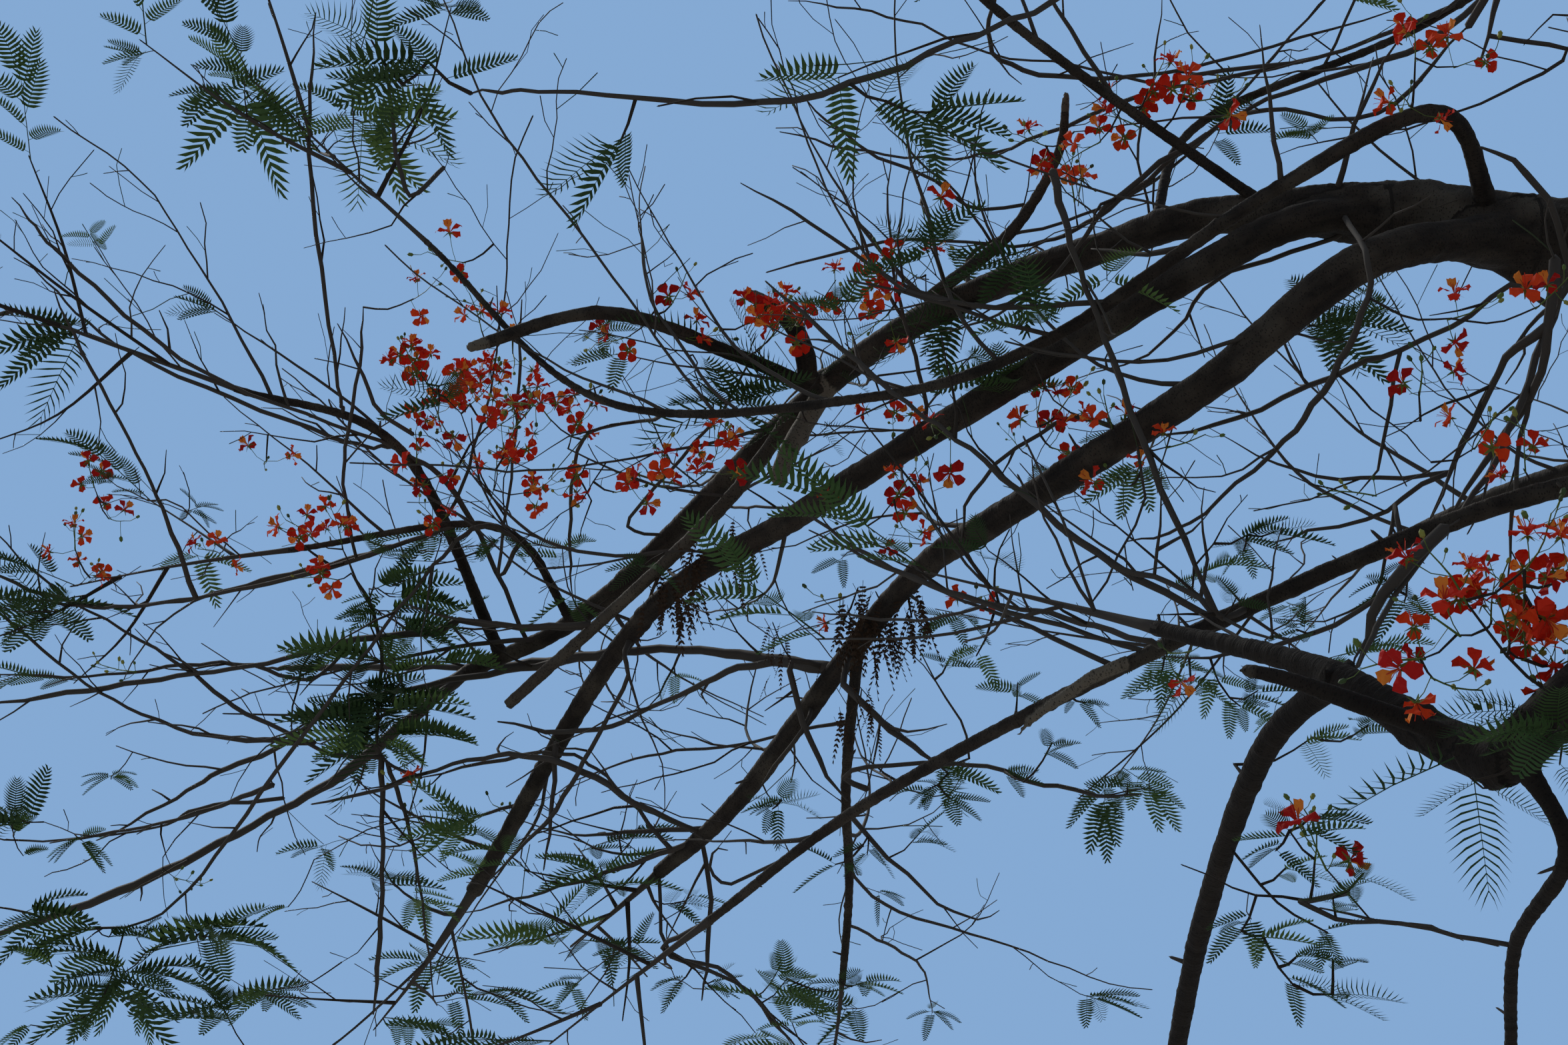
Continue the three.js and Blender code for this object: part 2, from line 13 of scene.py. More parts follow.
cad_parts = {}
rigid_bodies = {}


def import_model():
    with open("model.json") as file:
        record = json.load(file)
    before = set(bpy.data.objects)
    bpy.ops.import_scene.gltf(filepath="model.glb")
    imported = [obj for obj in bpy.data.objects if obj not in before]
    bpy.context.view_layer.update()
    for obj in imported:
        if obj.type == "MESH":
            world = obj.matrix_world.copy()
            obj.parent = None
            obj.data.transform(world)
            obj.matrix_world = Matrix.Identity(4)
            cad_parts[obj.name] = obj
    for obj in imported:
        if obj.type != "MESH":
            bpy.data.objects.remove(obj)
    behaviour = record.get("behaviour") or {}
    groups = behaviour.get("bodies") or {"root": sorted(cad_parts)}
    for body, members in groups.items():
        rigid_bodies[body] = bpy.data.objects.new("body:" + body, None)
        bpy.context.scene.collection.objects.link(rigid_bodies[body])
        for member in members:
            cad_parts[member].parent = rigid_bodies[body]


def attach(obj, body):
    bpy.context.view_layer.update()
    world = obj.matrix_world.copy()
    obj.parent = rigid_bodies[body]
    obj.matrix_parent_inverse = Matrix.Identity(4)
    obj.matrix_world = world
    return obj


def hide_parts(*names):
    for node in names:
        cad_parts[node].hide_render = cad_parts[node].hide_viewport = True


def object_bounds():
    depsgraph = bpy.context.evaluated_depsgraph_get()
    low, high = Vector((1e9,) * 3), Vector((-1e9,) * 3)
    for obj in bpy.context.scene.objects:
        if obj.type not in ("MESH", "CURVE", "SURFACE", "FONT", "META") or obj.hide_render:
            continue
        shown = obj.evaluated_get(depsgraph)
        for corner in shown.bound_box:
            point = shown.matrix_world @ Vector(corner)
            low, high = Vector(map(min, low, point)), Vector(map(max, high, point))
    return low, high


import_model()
cad_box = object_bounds()

# Bark of the trunk, limbs and boughs. A flame tree has thin grey-brown bark, drawn into fine
# wrinkles across the wood, with dark pores and paler weathered patches. The attribute "grain"
# holds each point's place across and along its own limb, and "pale" how weathered the wood is.
BARK_DARK = (0.011, 0.0085, 0.007, 1)
BARK_MID = (0.042, 0.032, 0.024, 1)
BARK_PALE = (0.17, 0.145, 0.11, 1)
PORES_PER_METRE = 95
WRINKLES_PER_METRE = 130


def node(tree, kind, **values):
    """A shader node of this kind, with its settings and plain input values."""
    made = tree.nodes.new(kind)
    for key, value in values.items():
        if hasattr(made, key):
            setattr(made, key, value)
        else:
            made.inputs[key.replace("_", " ")].default_value = value
    return made


def bark_group():
    """The bark pattern: its colour, roughness and height, read from the grain attribute, with the colour
    darkened by painted shade.
    """
    group = bpy.data.node_groups.new("bark_pattern", "ShaderNodeTree")
    sockets = group.interface
    sockets.new_socket("Weathering", in_out="INPUT", socket_type="NodeSocketFloat")
    sockets.new_socket("Shade", in_out="INPUT", socket_type="NodeSocketFloat")
    sockets.new_socket("Colour", in_out="OUTPUT", socket_type="NodeSocketColor")
    sockets.new_socket("Roughness", in_out="OUTPUT", socket_type="NodeSocketFloat")
    sockets.new_socket("Height", in_out="OUTPUT", socket_type="NodeSocketFloat")
    given = group.nodes.new("NodeGroupInput")
    result = group.nodes.new("NodeGroupOutput")
    grain = node(group, "ShaderNodeAttribute", attribute_name="grain")
    pale = node(group, "ShaderNodeAttribute", attribute_name="pale")
    link = group.links.new

    streaks_at = node(group, "ShaderNodeMapping", Scale=(1, 1, 0.28))
    link(grain.outputs["Vector"], streaks_at.inputs["Vector"])
    streaks = node(group, "ShaderNodeTexNoise", Scale=22, Detail=5, Roughness=0.62)
    link(streaks_at.outputs[0], streaks.inputs["Vector"])

    patches = node(group, "ShaderNodeTexNoise", Scale=3.6, Detail=3, Roughness=0.55)
    link(grain.outputs["Vector"], patches.inputs["Vector"])
    patch_mask = node(group, "ShaderNodeMapRange", From_Min=0.50, From_Max=0.72)
    link(patches.outputs["Fac"], patch_mask.inputs["Value"])

    wrinkles_at = node(group, "ShaderNodeMapping", Scale=(9, 9, WRINKLES_PER_METRE))
    link(grain.outputs["Vector"], wrinkles_at.inputs["Vector"])
    wrinkles = node(group, "ShaderNodeTexNoise", Scale=1, Detail=2, Roughness=0.5, Distortion=0.4)
    link(wrinkles_at.outputs[0], wrinkles.inputs["Vector"])

    pores_at = node(group, "ShaderNodeMapping", Scale=(1, 1, 1.6))
    link(grain.outputs["Vector"], pores_at.inputs["Vector"])
    pores = node(group, "ShaderNodeTexVoronoi", Scale=PORES_PER_METRE, Randomness=0.9)
    link(pores_at.outputs[0], pores.inputs["Vector"])
    pore_mask = node(group, "ShaderNodeMapRange", From_Min=0.30, From_Max=0.16)
    link(pores.outputs["Distance"], pore_mask.inputs["Value"])

    base = node(group, "ShaderNodeValToRGB")
    base.color_ramp.elements[0].position = 0.32
    base.color_ramp.elements[0].color = BARK_DARK
    base.color_ramp.elements[1].position = 0.68
    base.color_ramp.elements[1].color = BARK_MID
    link(streaks.outputs["Fac"], base.inputs["Fac"])

    weather = node(group, "ShaderNodeMath", operation="MULTIPLY")
    link(patch_mask.outputs[0], weather.inputs[0])
    link(given.outputs["Weathering"], weather.inputs[1])
    pale_sum = node(group, "ShaderNodeMath", operation="ADD", use_clamp=True)
    link(weather.outputs[0], pale_sum.inputs[0])
    link(pale.outputs["Fac"], pale_sum.inputs[1])
    faded = node(group, "ShaderNodeMix", data_type="RGBA")
    link(pale_sum.outputs[0], faded.inputs["Factor"])
    link(base.outputs["Color"], faded.inputs["A"])
    faded.inputs["B"].default_value = BARK_PALE

    pore_share = node(group, "ShaderNodeMath", operation="MULTIPLY")
    link(pore_mask.outputs[0], pore_share.inputs[0])
    pore_share.inputs[1].default_value = 0.75
    dotted = node(group, "ShaderNodeMix", data_type="RGBA")
    link(pore_share.outputs[0], dotted.inputs["Factor"])
    link(faded.outputs["Result"], dotted.inputs["A"])
    dotted.inputs["B"].default_value = BARK_DARK
    # Painted shade: the whole bark is mixed towards its darkest colour, as far as this piece of wood is meant
    # to look shaded under the crown.
    painted_shade_mix = node(group, "ShaderNodeMix", data_type="RGBA")
    link(given.outputs["Shade"], painted_shade_mix.inputs["Factor"])
    link(dotted.outputs["Result"], painted_shade_mix.inputs["A"])
    painted_shade_mix.inputs["B"].default_value = BARK_DARK
    link(painted_shade_mix.outputs["Result"], result.inputs["Colour"])

    rough = node(group, "ShaderNodeMapRange", To_Min=0.78, To_Max=0.97)
    link(streaks.outputs["Fac"], rough.inputs["Value"])
    link(rough.outputs[0], result.inputs["Roughness"])

    ridge = node(group, "ShaderNodeMath", operation="MULTIPLY_ADD")
    link(wrinkles.outputs["Fac"], ridge.inputs[0])
    ridge.inputs[1].default_value = 0.45
    link(streaks.outputs["Fac"], ridge.inputs[2])
    sunk = node(group, "ShaderNodeMath", operation="SUBTRACT")
    link(ridge.outputs[0], sunk.inputs[0])
    link(pore_share.outputs[0], sunk.inputs[1])
    link(sunk.outputs[0], result.inputs["Height"])
    return group


BARK_PATTERN = bark_group()


def bark_material(name, weathering, painted_shade):
    """Bark finish for one piece of wood: how much is weathered, and how far painted shade darkens it."""
    made = bpy.data.materials.new(name)
    made.use_nodes = True
    tree = made.node_tree
    shader = tree.nodes["Principled BSDF"]
    shader.inputs["Specular IOR Level"].default_value = 0.25
    pattern = node(tree, "ShaderNodeGroup", node_tree=BARK_PATTERN, Weathering=weathering, Shade=painted_shade)
    bump = node(tree, "ShaderNodeBump", Strength=0.75, Distance=0.011)
    tree.links.new(pattern.outputs["Colour"], shader.inputs["Base Color"])
    tree.links.new(pattern.outputs["Roughness"], shader.inputs["Roughness"])
    tree.links.new(pattern.outputs["Height"], bump.inputs["Height"])
    tree.links.new(bump.outputs["Normal"], shader.inputs["Normal"])
    return made


# Lines of the limbs and boughs. Each row is one limb: its name, what it grows from, where it
# starts (a place, or how far along its parent), its radius at the start and at the tip, its swell,
# which keeps its girth for longer before it tapers, and the places that it passes up to its tip.
LIMBS = [
    ("west_limb", "trunk", (-0.08, -0.01, 2.08), (0.185, 0.112), 2.6,
     [(-0.29, -0.04, 3.5), (-0.43, 0.05, 4.75), (-0.85, 0.28, 5.53), (-1.56, 0.5, 5.9)]),
    ("front_left_limb", "trunk", (-0.02, -0.16, 2.08), (0.16, 0.048), 1,
     [(-0.35, -0.52, 3.55), (-0.85, -1.3, 4.7), (-1.6, -2.5, 5.7), (-2.6, -3.9, 6.4)]),
    ("front_right_limb", "trunk", (0.14, -0.17, 2.08), (0.155, 0.046), 1,
     [(0.35, -0.48, 3.5), (0.9, -1.2, 4.85), (1.8, -2.3, 5.85), (2.9, -3.7, 6.2)]),
    ("right_limb", "trunk", (0.215, -0.03, 2.08), (0.15, 0.044), 1,
     [(0.56, 0.06, 3.5), (1.35, 0.2, 4.9), (2.8, 0.3, 5.9), (4.4, 0.4, 6.25)]),
    ("back_limb", "trunk", (0.095, 0.11, 2.08), (0.145, 0.042), 1,
     [(0.13, 0.48, 3.55), (0.4, 1.2, 4.9), (0.9, 2.6, 5.9), (1.3, 4.2, 6.25)]),
    ("upper_bough", "west_limb", 1, (0.072, 0.03), 1,
     [(-2.03, 0.61, 5.98), (-2.44, 0.81, 6.01), (-3.3, 1.59, 6), (-4.34, 2.89, 5.58), (-4.92, 3.38, 5.47)]),
    ("middle_bough", "upper_bough", 0.05, (0.06, 0.034), 1,
     [(-2.06, 0.53, 5.85), (-2.88, 1.07, 5.57), (-3.54, 1.74, 5.43),
      (-4.17, 2.47, 5.29), (-4.9, 3.86, 4.68)]),
    ("lower_bough", "west_limb", 0.9, (0.068, 0.029), 1,
     [(-1.82, 0.24, 5.58), (-2.31, 0.54, 5.29), (-2.89, 1.16, 5.14),
      (-3.2, 1.63, 5.08), (-3.77, 2.65, 4.67), (-4.09, 3.15, 4.54)]),
    ("plumb_bough", "lower_bough", 0.71, (0.022, 0.014), 1,
     [(-3.37, 2.5, 4.69), (-3.35, 2.98, 4.43), (-3.37, 3.43, 4.17)]),
    ("long_low_bough", "west_limb", 0.52, (0.036, 0.016), 1,
     [(-0.95, -0.06, 4.74), (-1.62, -0.08, 4.6), (-2.46, 0.55, 4.44),
      (-3.32, 1.65, 4.32), (-3.88, 2.4, 4.12)]),
    ("crooked_limb", "front_left_limb", 0.45, (0.088, 0.058), 1,
     [(-1.16, -1.3, 4.22), (-1.48, -1.35, 3.88), (-1.86, -1.23, 3.6), (-2, -1.01, 3.5)]),
    ("crooked_bough", "crooked_limb", 1, (0.05, 0.02), 1,
     [(-2.11, -0.88, 3.64), (-2.3, -0.69, 3.87), (-2.62, -0.23, 4.17)]),
    ("falling_bough", "crooked_bough", 0.62, (0.036, 0.027), 1,
     [(-2.39, -0.35, 3.77), (-2.43, 0.52, 3.56), (-2.42, 1.45, 3.25)]),
    ("inner_bough", "crooked_limb", 0.93, (0.022, 0.015), 1,
     [(-1.88, -1.06, 3.29), (-1.89, -0.63, 3.2), (-1.78, -0.1, 3.06)]),
    ("arch_bough", "west_limb", 0.93, (0.03, 0.01), 1,
     [(-1.6, 0.06, 5.99), (-2.13, 0.16, 5.76), (-2.77, 0.56, 5.48),
      (-3.33, 0.95, 5.48), (-4.24, 1.44, 5.73), (-4.92, 1.59, 6.47)]),
    ("top_bough", "upper_bough", 0.38, (0.018, 0.011), 1,
     [(-2.15, 0.99, 6.58), (-1.42, 0.62, 6.74), (-0.7, 0.42, 7.18)]),
    ("rising_bough", "upper_bough", 0.19, (0.019, 0.011), 1,
     [(-2.8, 0.29, 6.43), (-3.5, -0.2, 6.76), (-4.25, -0.65, 6.9)]),
    ("far_left_bough", "upper_bough", 0.94, (0.025, 0.014), 1,
     [(-5.14, 2.63, 6.14), (-5.78, 2.44, 6.31)]),
    ("level_bough", "upper_bough", 0.83, (0.018, 0.012), 1,
     [(-4.75, 2.67, 5.81), (-5.62, 2.98, 5.85)]),
    ("broken_stub", "upper_bough", 0.65, (0.029, 0.022), 1,
     [(-3.89, 2.08, 5.55), (-4.67, 2.78, 5.1)]),
    ("front_left_bough", "front_left_limb", 0.72, (0.06, 0.03), 1,
     [(-2.6, -2.1, 6.25), (-4.3, -2.6, 6.35)]),
    ("front_bough", "front_left_limb", 0.64, (0.056, 0.03), 1,
     [(-0.7, -2.9, 5.95), (-0.55, -4.3, 6.2)]),
    ("front_left_crown_bough", "front_left_limb", 0.5, (0.056, 0.028), 1,
     [(-1.15, -1.35, 6.25), (-1.7, -1.85, 7.35)]),
    ("front_right_bough", "front_right_limb", 0.68, (0.058, 0.03), 1,
     [(2.7, -1.6, 6.2), (4.35, -2.25, 6.25)]),
    ("front_middle_bough", "front_right_limb", 0.62, (0.054, 0.03), 1,
     [(1.25, -3.05, 6.05), (1.4, -4.5, 6.15)]),
    ("front_right_crown_bough", "front_right_limb", 0.5, (0.054, 0.028), 1,
     [(0.9, -0.95, 6.3), (1.15, -1.35, 7.4)]),
    ("back_right_bough", "right_limb", 0.66, (0.056, 0.03), 1,
     [(3.1, 1.5, 6.25), (4.15, 2.7, 6.25)]),
    ("right_crown_bough", "right_limb", 0.56, (0.05, 0.028), 1,
     [(2.05, 0.7, 6.55), (2.7, 0.7, 7.4)]),
    ("back_left_bough", "back_limb", 0.58, (0.05, 0.026), 1,
     [(-0.25, 2.8, 6.15), (-1.15, 4.3, 6.3)]),
    ("back_bough", "back_limb", 0.7, (0.05, 0.028), 1,
     [(2.1, 3.2, 6.2), (3.05, 4.3, 6.2)]),
    ("back_crown_bough", "back_limb", 0.5, (0.052, 0.028), 1,
     [(0.35, 1.35, 6.5), (0.25, 1.65, 7.5)]),
]
TIP_START = 0.02  # a limb that starts at its parent's tip begins this far inside it
UP = np.array([0.0, 0.0, 1.0])


def unit(way):
    """The way as a direction of length 1."""
    return way / np.linalg.norm(way)


def curve_at(knots, shares):
    """Points on the smooth curve through the knots, at shares from 0 to 1 of it."""
    ends = np.vstack([2 * knots[0] - knots[1], knots, 2 * knots[-1] - knots[-2]])
    place = np.clip(np.atleast_1d(shares), 0, 1) * (len(knots) - 1)
    low = np.minimum(place.astype(int), len(knots) - 2)
    part = (place - low)[:, None]
    before, start, end, after = (ends[low + k] for k in range(4))
    leaving = (end - before) / 2
    arriving = (after - start) / 2
    bend = 3 * (end - start) - 2 * leaving - arriving
    turn = 2 * (start - end) + leaving + arriving
    return start + part * (leaving + part * (bend + part * turn))


def spaced(points, spacing):
    """A smooth line through these points, with its places about this far apart."""
    points = np.array(points, float)
    span = np.linalg.norm(np.diff(points, axis=0), axis=1).sum()
    return curve_at(points, np.linspace(0, 1, max(2, round(span / spacing)) + 1))


def heading_at(knots, share):
    """The direction of the curve at a share of it."""
    step = 0.0001
    ahead, behind = curve_at(knots, [min(share + step, 1), max(share - step, 0)])
    return unit(ahead - behind)


class Limb:
    """One limb or bough: its knots, and its radius anywhere along it."""

    def __init__(self, name, parent, start, radius, swell, places):
        self.name = name
        self.parent = parent
        self.start = start
        self.radius = radius
        self.swell = swell
        if parent in limbs:
            host = limbs[parent]
            begin = curve_at(host.knots, start)[0]
            if start == 1:
                begin = begin - TIP_START * heading_at(host.knots, 1)
        else:
            begin = np.array(start)
        self.knots = np.vstack([begin, places])

    def radius_at(self, share):
        return self.radius[0] + (self.radius[1] - self.radius[0]) * np.power(share, self.swell)

    def stations(self, spacing):
        """Centres, radii and lengths at an even spacing along the limb."""
        shares = np.linspace(0, 1, 400)
        points = curve_at(self.knots, shares)
        lengths = np.append(0, np.cumsum(np.linalg.norm(np.diff(points, axis=0), axis=1)))
        count = max(4, round(lengths[-1] / spacing))
        even = np.interp(np.linspace(0, lengths[-1], count + 1), lengths, shares)
        centres = curve_at(self.knots, even)
        return centres, self.radius_at(even), np.linspace(0, lengths[-1], count + 1)


limbs = {}
for row in LIMBS:
    limbs[row[0]] = Limb(*row)


# Trunk and fork. One body of wood: a column that leans a little, with five ridges that run out
# into the root flare, cut flat at the ground, and the feet of the five main limbs grown out of it.
# All the wood is raised as overlapping tubes, fused, softened in the forks and given its bark.
TRUNK_HEIGHT = 2.42
TRUNK_RADIUS = 0.33
FORK_START = 2.05
TRUNK_LEAN = (0.07, -0.04)
LEAN_CURVE = 1.3  # the trunk leans more with height, by this power of it
COLUMN_TAPER = 0.06
DRAWN_IN = 0.3  # share by which the column draws in at the top of the fork
FLUTE_DEPTH = 0.009
FLARE_REACH = 0.30
FLARE_HEIGHT = 0.33
FLARE_RIDGES = 5
VALLEY = 0.35  # how far the flare runs out between its ridges
BELOW_CUT = 0.08  # the column runs on below the ground until it is cut
FORK_LENGTH = 1.35  # of each main limb, fused with the trunk
FORK_OVERLAP = 0.22
HIDDEN_DRAW_IN = 0.16  # share by which a limb draws in where it is cut off inside other wood
ROUND_END = 0.09  # length in which a limb's end, hidden in another, is rounded off
COLLAR = 0.32  # how much wider a bough is where it leaves its parent
TAKE_OVER = 0.38  # length in which a bough that carries on a limb loses that limb's girth
TUBE_FACET = 0.012  # width of the flats of a tube
LUMP, DENT, FLAKE = 0.07, 0.06, 0.03  # relief of the bark, as shares of the wood's radius
WRINKLE = 0.0022  # height of the wrinkles across the wood
SCAR_SPACING = 0.22  # along a limb, from one twig scar to the next


def trunk_radius(turn, height):
    """Radius of the trunk at a height and a turn round it."""
    step = (max(height, 0) / TRUNK_HEIGHT) ** (1 / 1.35)
    low = math.exp(-max(height, 0) / FLARE_HEIGHT)
    ridge = 0.5 + 0.5 * math.cos(FLARE_RIDGES * turn + 0.8)
    drawn_in = max(0, (height - FORK_START) / (TRUNK_HEIGHT - FORK_START))
    column = TRUNK_RADIUS * (1 - COLUMN_TAPER * step) + 0.03 * step**4
    column = column * (1 - DRAWN_IN * drawn_in**2)
    flutes = FLUTE_DEPTH * math.cos(3 * turn + height / 0.5)
    return column + FLARE_REACH * low * (VALLEY + (1 - VALLEY) * ridge) + flutes


def sheet_verts(wood, columns, rows):
    """A flat sheet of vertices in the bmesh wood, each with its column and row."""
    made = bmesh.ops.create_grid(wood, x_segments=columns, y_segments=rows, size=1)["verts"]
    return [(v, round((v.co.x + 1) / 2 * columns), round((v.co.y + 1) / 2 * rows)) for v in made]


def add_trunk(wood):
    """The column of the trunk, rolled from a sheet."""
    columns, rows = 72, 60
    verts = sheet_verts(wood, columns, rows)
    for vert, column, row in verts:
        turn = 2 * math.pi * column / columns
        height = -BELOW_CUT + (TRUNK_HEIGHT + BELOW_CUT) * row / rows
        lean = max(height / TRUNK_HEIGHT, 0) ** LEAN_CURVE
        radius = trunk_radius(turn, height)
        vert.co.x = TRUNK_LEAN[0] * lean + math.cos(turn) * radius
        vert.co.y = TRUNK_LEAN[1] * lean - math.sin(turn) * radius
        vert.co.z = height
    bmesh.ops.remove_doubles(wood, verts=[v[0] for v in verts], dist=1e-6)


def cross_ways(centres):
    """Two ways across a line at each of its points, carried along it without twisting."""
    along = np.gradient(centres, axis=0)
    along /= np.linalg.norm(along, axis=1)[:, None]
    side = np.cross([0, 1, 0], along[0])
    if np.linalg.norm(side) < 0.3:
        side = np.cross([1, 0, 0], along[0])
    sides = []
    for way in along:
        side = unit(side - way * side.dot(way))
        sides.append(side)
    sides = np.array(sides)
    return along, sides, np.cross(along, sides)


def add_tube(wood, centres, radii):
    """A round tube along the centres, rolled from a sheet."""
    columns = int(np.clip(2 * math.pi * radii.max() / TUBE_FACET, 12, 40))
    rows = len(centres) - 1
    _, side, other = cross_ways(centres)
    verts = sheet_verts(wood, columns, rows)
    for vert, column, row in verts:
        turn = 2 * math.pi * column / columns
        out = math.cos(turn) * side[row] + math.sin(turn) * other[row]
        vert.co = centres[row] + radii[row] * out
    bmesh.ops.remove_doubles(wood, verts=[v[0] for v in verts], dist=1e-6)


def stretch(limb, begin, end, spacing=0.03):
    """The centres, radii and lengths of a limb between two lengths along it. Where it is cut off
    inside another piece of wood it draws in, so that the two surfaces cross at a fine angle."""
    centres, radii, lengths = limb.stations(spacing)
    cut_off = end < lengths[-1]
    end = min(end, lengths[-1])
    kept = (lengths >= begin) & (lengths <= end)
    centres, radii, lengths = centres[kept], radii[kept].copy(), lengths[kept]
    if begin > 0:
        radii *= 1 - HIDDEN_DRAW_IN * np.clip(1 - (lengths - begin) / FORK_OVERLAP, 0, 1)
    if cut_off:
        radii *= 1 - HIDDEN_DRAW_IN * np.clip(1 - (end - lengths) / FORK_OVERLAP, 0, 1)
        radii *= 1 - 0.5 * np.square(np.clip(1 - (end - lengths) / ROUND_END, 0, 1))
    return centres, radii, lengths


def swollen(limb, radii, lengths):
    """The radii with the collar by which the limb joins its parent. A bough that carries on a limb
    from its very tip takes over the girth of that tip instead."""
    host = limbs[limb.parent]
    if limb.start == 1:
        fading = np.exp(-np.square(lengths / TAKE_OVER))
        return radii + (host.radius[1] - radii) * fading
    reach = float(host.radius_at(limb.start))
    return radii * (1 + COLLAR * np.exp(-np.square(np.maximum(lengths - 0.6 * reach, 0) / reach)))


def bark_relief(piece, tubes, seed):
    """Gives a fused body of wood back the girth that softening took, then its lumps, twig scars
    and wrinkles, and writes the grain and pale attributes that the bark reads."""
    mesh = piece.data
    count = len(mesh.vertices)
    places = np.empty(count * 3, np.float32)
    mesh.vertices.foreach_get("co", places)
    places = places.reshape(-1, 3).astype(float)
    marks = []
    for centres, radii, lengths, pale in tubes:
        along, side, other = cross_ways(centres)
        marks += list(zip(centres, along, side, other, radii, lengths, np.full(len(centres), pale)))
    finder = kdtree.KDTree(len(marks))
    for index, mark in enumerate(marks):
        finder.insert(mark[0], index)
    finder.balance()
    nearest = np.array([finder.find(place)[1] for place in places])
    centre, along, side, other = (np.array([m[k] for m in marks])[nearest] for k in range(4))
    girth, length, pale = (np.array([m[k] for m in marks])[nearest] for k in (4, 5, 6))
    offset = places - centre
    ahead = (offset * along).sum(1)
    across = np.stack([(offset * side).sum(1), (offset * other).sum(1)], 1)
    distance = np.linalg.norm(across, axis=1)
    lost = (distance < girth) & (distance > 0.55 * girth)
    scale = np.where(lost, girth / np.maximum(distance, 1e-6), 1)
    moved = across * (scale[:, None] - 1)
    places += side * moved[:, :1] + other * moved[:, 1:]

    mesh.vertices.foreach_set("co", places.astype(np.float32).ravel())
    mesh.update()
    normals = np.empty(count * 3, np.float32)
    mesh.vertex_normals.foreach_get("vector", normals)
    normals = normals.reshape(-1, 3).astype(float)
    grain = np.column_stack([across, length + ahead])
    size = np.clip(np.where(girth > 0, girth, 0.3), 0.012, 0.2)
    lift = np.empty(count)
    for index, (place, line) in enumerate(zip(places, grain)):
        lumps = noise.noise(Vector(place) * 5.5)
        dents = noise.noise(Vector(place) * 19)
        flakes = noise.noise(Vector((line[0] * 30, line[1] * 30, line[2] * 11)))
        wrinkle = noise.noise(Vector((line[0] * 7, line[1] * 7, line[2] * 42)))
        lift[index] = size[index] * (LUMP * lumps + DENT * dents + FLAKE * flakes) + WRINKLE * wrinkle
    chance = random.Random(seed)
    for centres, radii, lengths, _ in tubes:
        _, side, other = cross_ways(centres)
        for _ in range(int((lengths[-1] - lengths[0]) / SCAR_SPACING)):
            at = chance.randrange(1, len(centres) - 1)
            turn = chance.uniform(0, 2 * math.pi)
            height = chance.uniform(0.10, 0.30)
            if radii[at] <= 0:
                continue
            out = math.cos(turn) * side[at] + math.sin(turn) * other[at]
            scar = centres[at] + out * radii[at]
            width = 0.35 * radii[at] + 0.006
            gap = np.linalg.norm(places - scar, axis=1) / width
            lift += radii[at] * height * np.exp(-gap * gap) * (1 - 0.8 * np.exp(-6 * gap * gap))
    places += normals * lift[:, None]
    mesh.vertices.foreach_set("co", places.astype(np.float32).ravel())
    mesh.attributes.new("grain", "FLOAT_VECTOR", "POINT").data.foreach_set(
        "vector", grain.astype(np.float32).ravel())
    mesh.attributes.new("pale", "FLOAT", "POINT").data.foreach_set("value", pale.astype(np.float32))
    mesh.update()


def fused_wood(name, tubes, voxel, softness, weathering, painted_shade, seed, trunk=False):
    """One body of wood from overlapping tubes: fused, softened in its forks and given its bark."""
    wood = bmesh.new()
    if trunk:
        add_trunk(wood)
    for centres, radii, _, _ in tubes:
        if radii[0] > 0:
            add_tube(wood, centres, radii)
    bmesh.ops.holes_fill(wood, edges=[e for e in wood.edges if e.is_boundary])
    bmesh.ops.recalc_face_normals(wood, faces=wood.faces)
    mesh = bpy.data.meshes.new(name)
    wood.to_mesh(mesh)
    wood.free()
    piece = bpy.data.objects.new(name, mesh)
    bpy.context.collection.objects.link(piece)
    fuse = piece.modifiers.new("fuse", "REMESH")
    fuse.mode = "VOXEL"
    fuse.voxel_size = voxel
    soften = piece.modifiers.new("soften", "SMOOTH")
    soften.factor = 0.5
    soften.iterations = softness
    graph = bpy.context.evaluated_depsgraph_get()
    fused = bpy.data.meshes.new_from_object(piece.evaluated_get(graph))
    piece.modifiers.clear()
    piece.data = fused
    bark_relief(piece, tubes, seed)
    piece.data.materials.clear()
    piece.data.materials.append(bark_material(name + "_bark", weathering, painted_shade))
    piece.data.polygons.foreach_set("use_smooth", [True] * len(piece.data.polygons))
    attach(piece, "root")
    return piece


MAIN_LIMBS = [name for name in limbs if limbs[name].parent == "trunk"]
axis_heights = np.linspace(0, TRUNK_HEIGHT, 60)
axis_lean = np.power(axis_heights / TRUNK_HEIGHT, LEAN_CURVE)
axis = np.column_stack([TRUNK_LEAN[0] * axis_lean, TRUNK_LEAN[1] * axis_lean, axis_heights])
fork_tubes = [(axis, np.zeros(60), axis_heights, 0.0)]
for name in MAIN_LIMBS:
    centres, radii, lengths = stretch(limbs[name], 0, FORK_LENGTH + FORK_OVERLAP)
    fork_tubes.append((centres, radii, lengths, 0.0))
# The bark of the trunk is darkened a little with painted shade, for the shade of the crown.
trunk = fused_wood("trunk_wood", fork_tubes, voxel=0.0155, softness=10, weathering=0.55, painted_shade=0.15,
                   seed=11, trunk=True)
below = bmesh.new()
below.from_mesh(trunk.data)
everything = below.verts[:] + below.edges[:] + below.faces[:]
bmesh.ops.bisect_plane(below, geom=everything, plane_co=(0, 0, 0), plane_no=(0, 0, -1), clear_outer=True)
bmesh.ops.holes_fill(below, edges=[e for e in below.edges if e.is_boundary])
below.to_mesh(trunk.data)
below.free()
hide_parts("trunk")


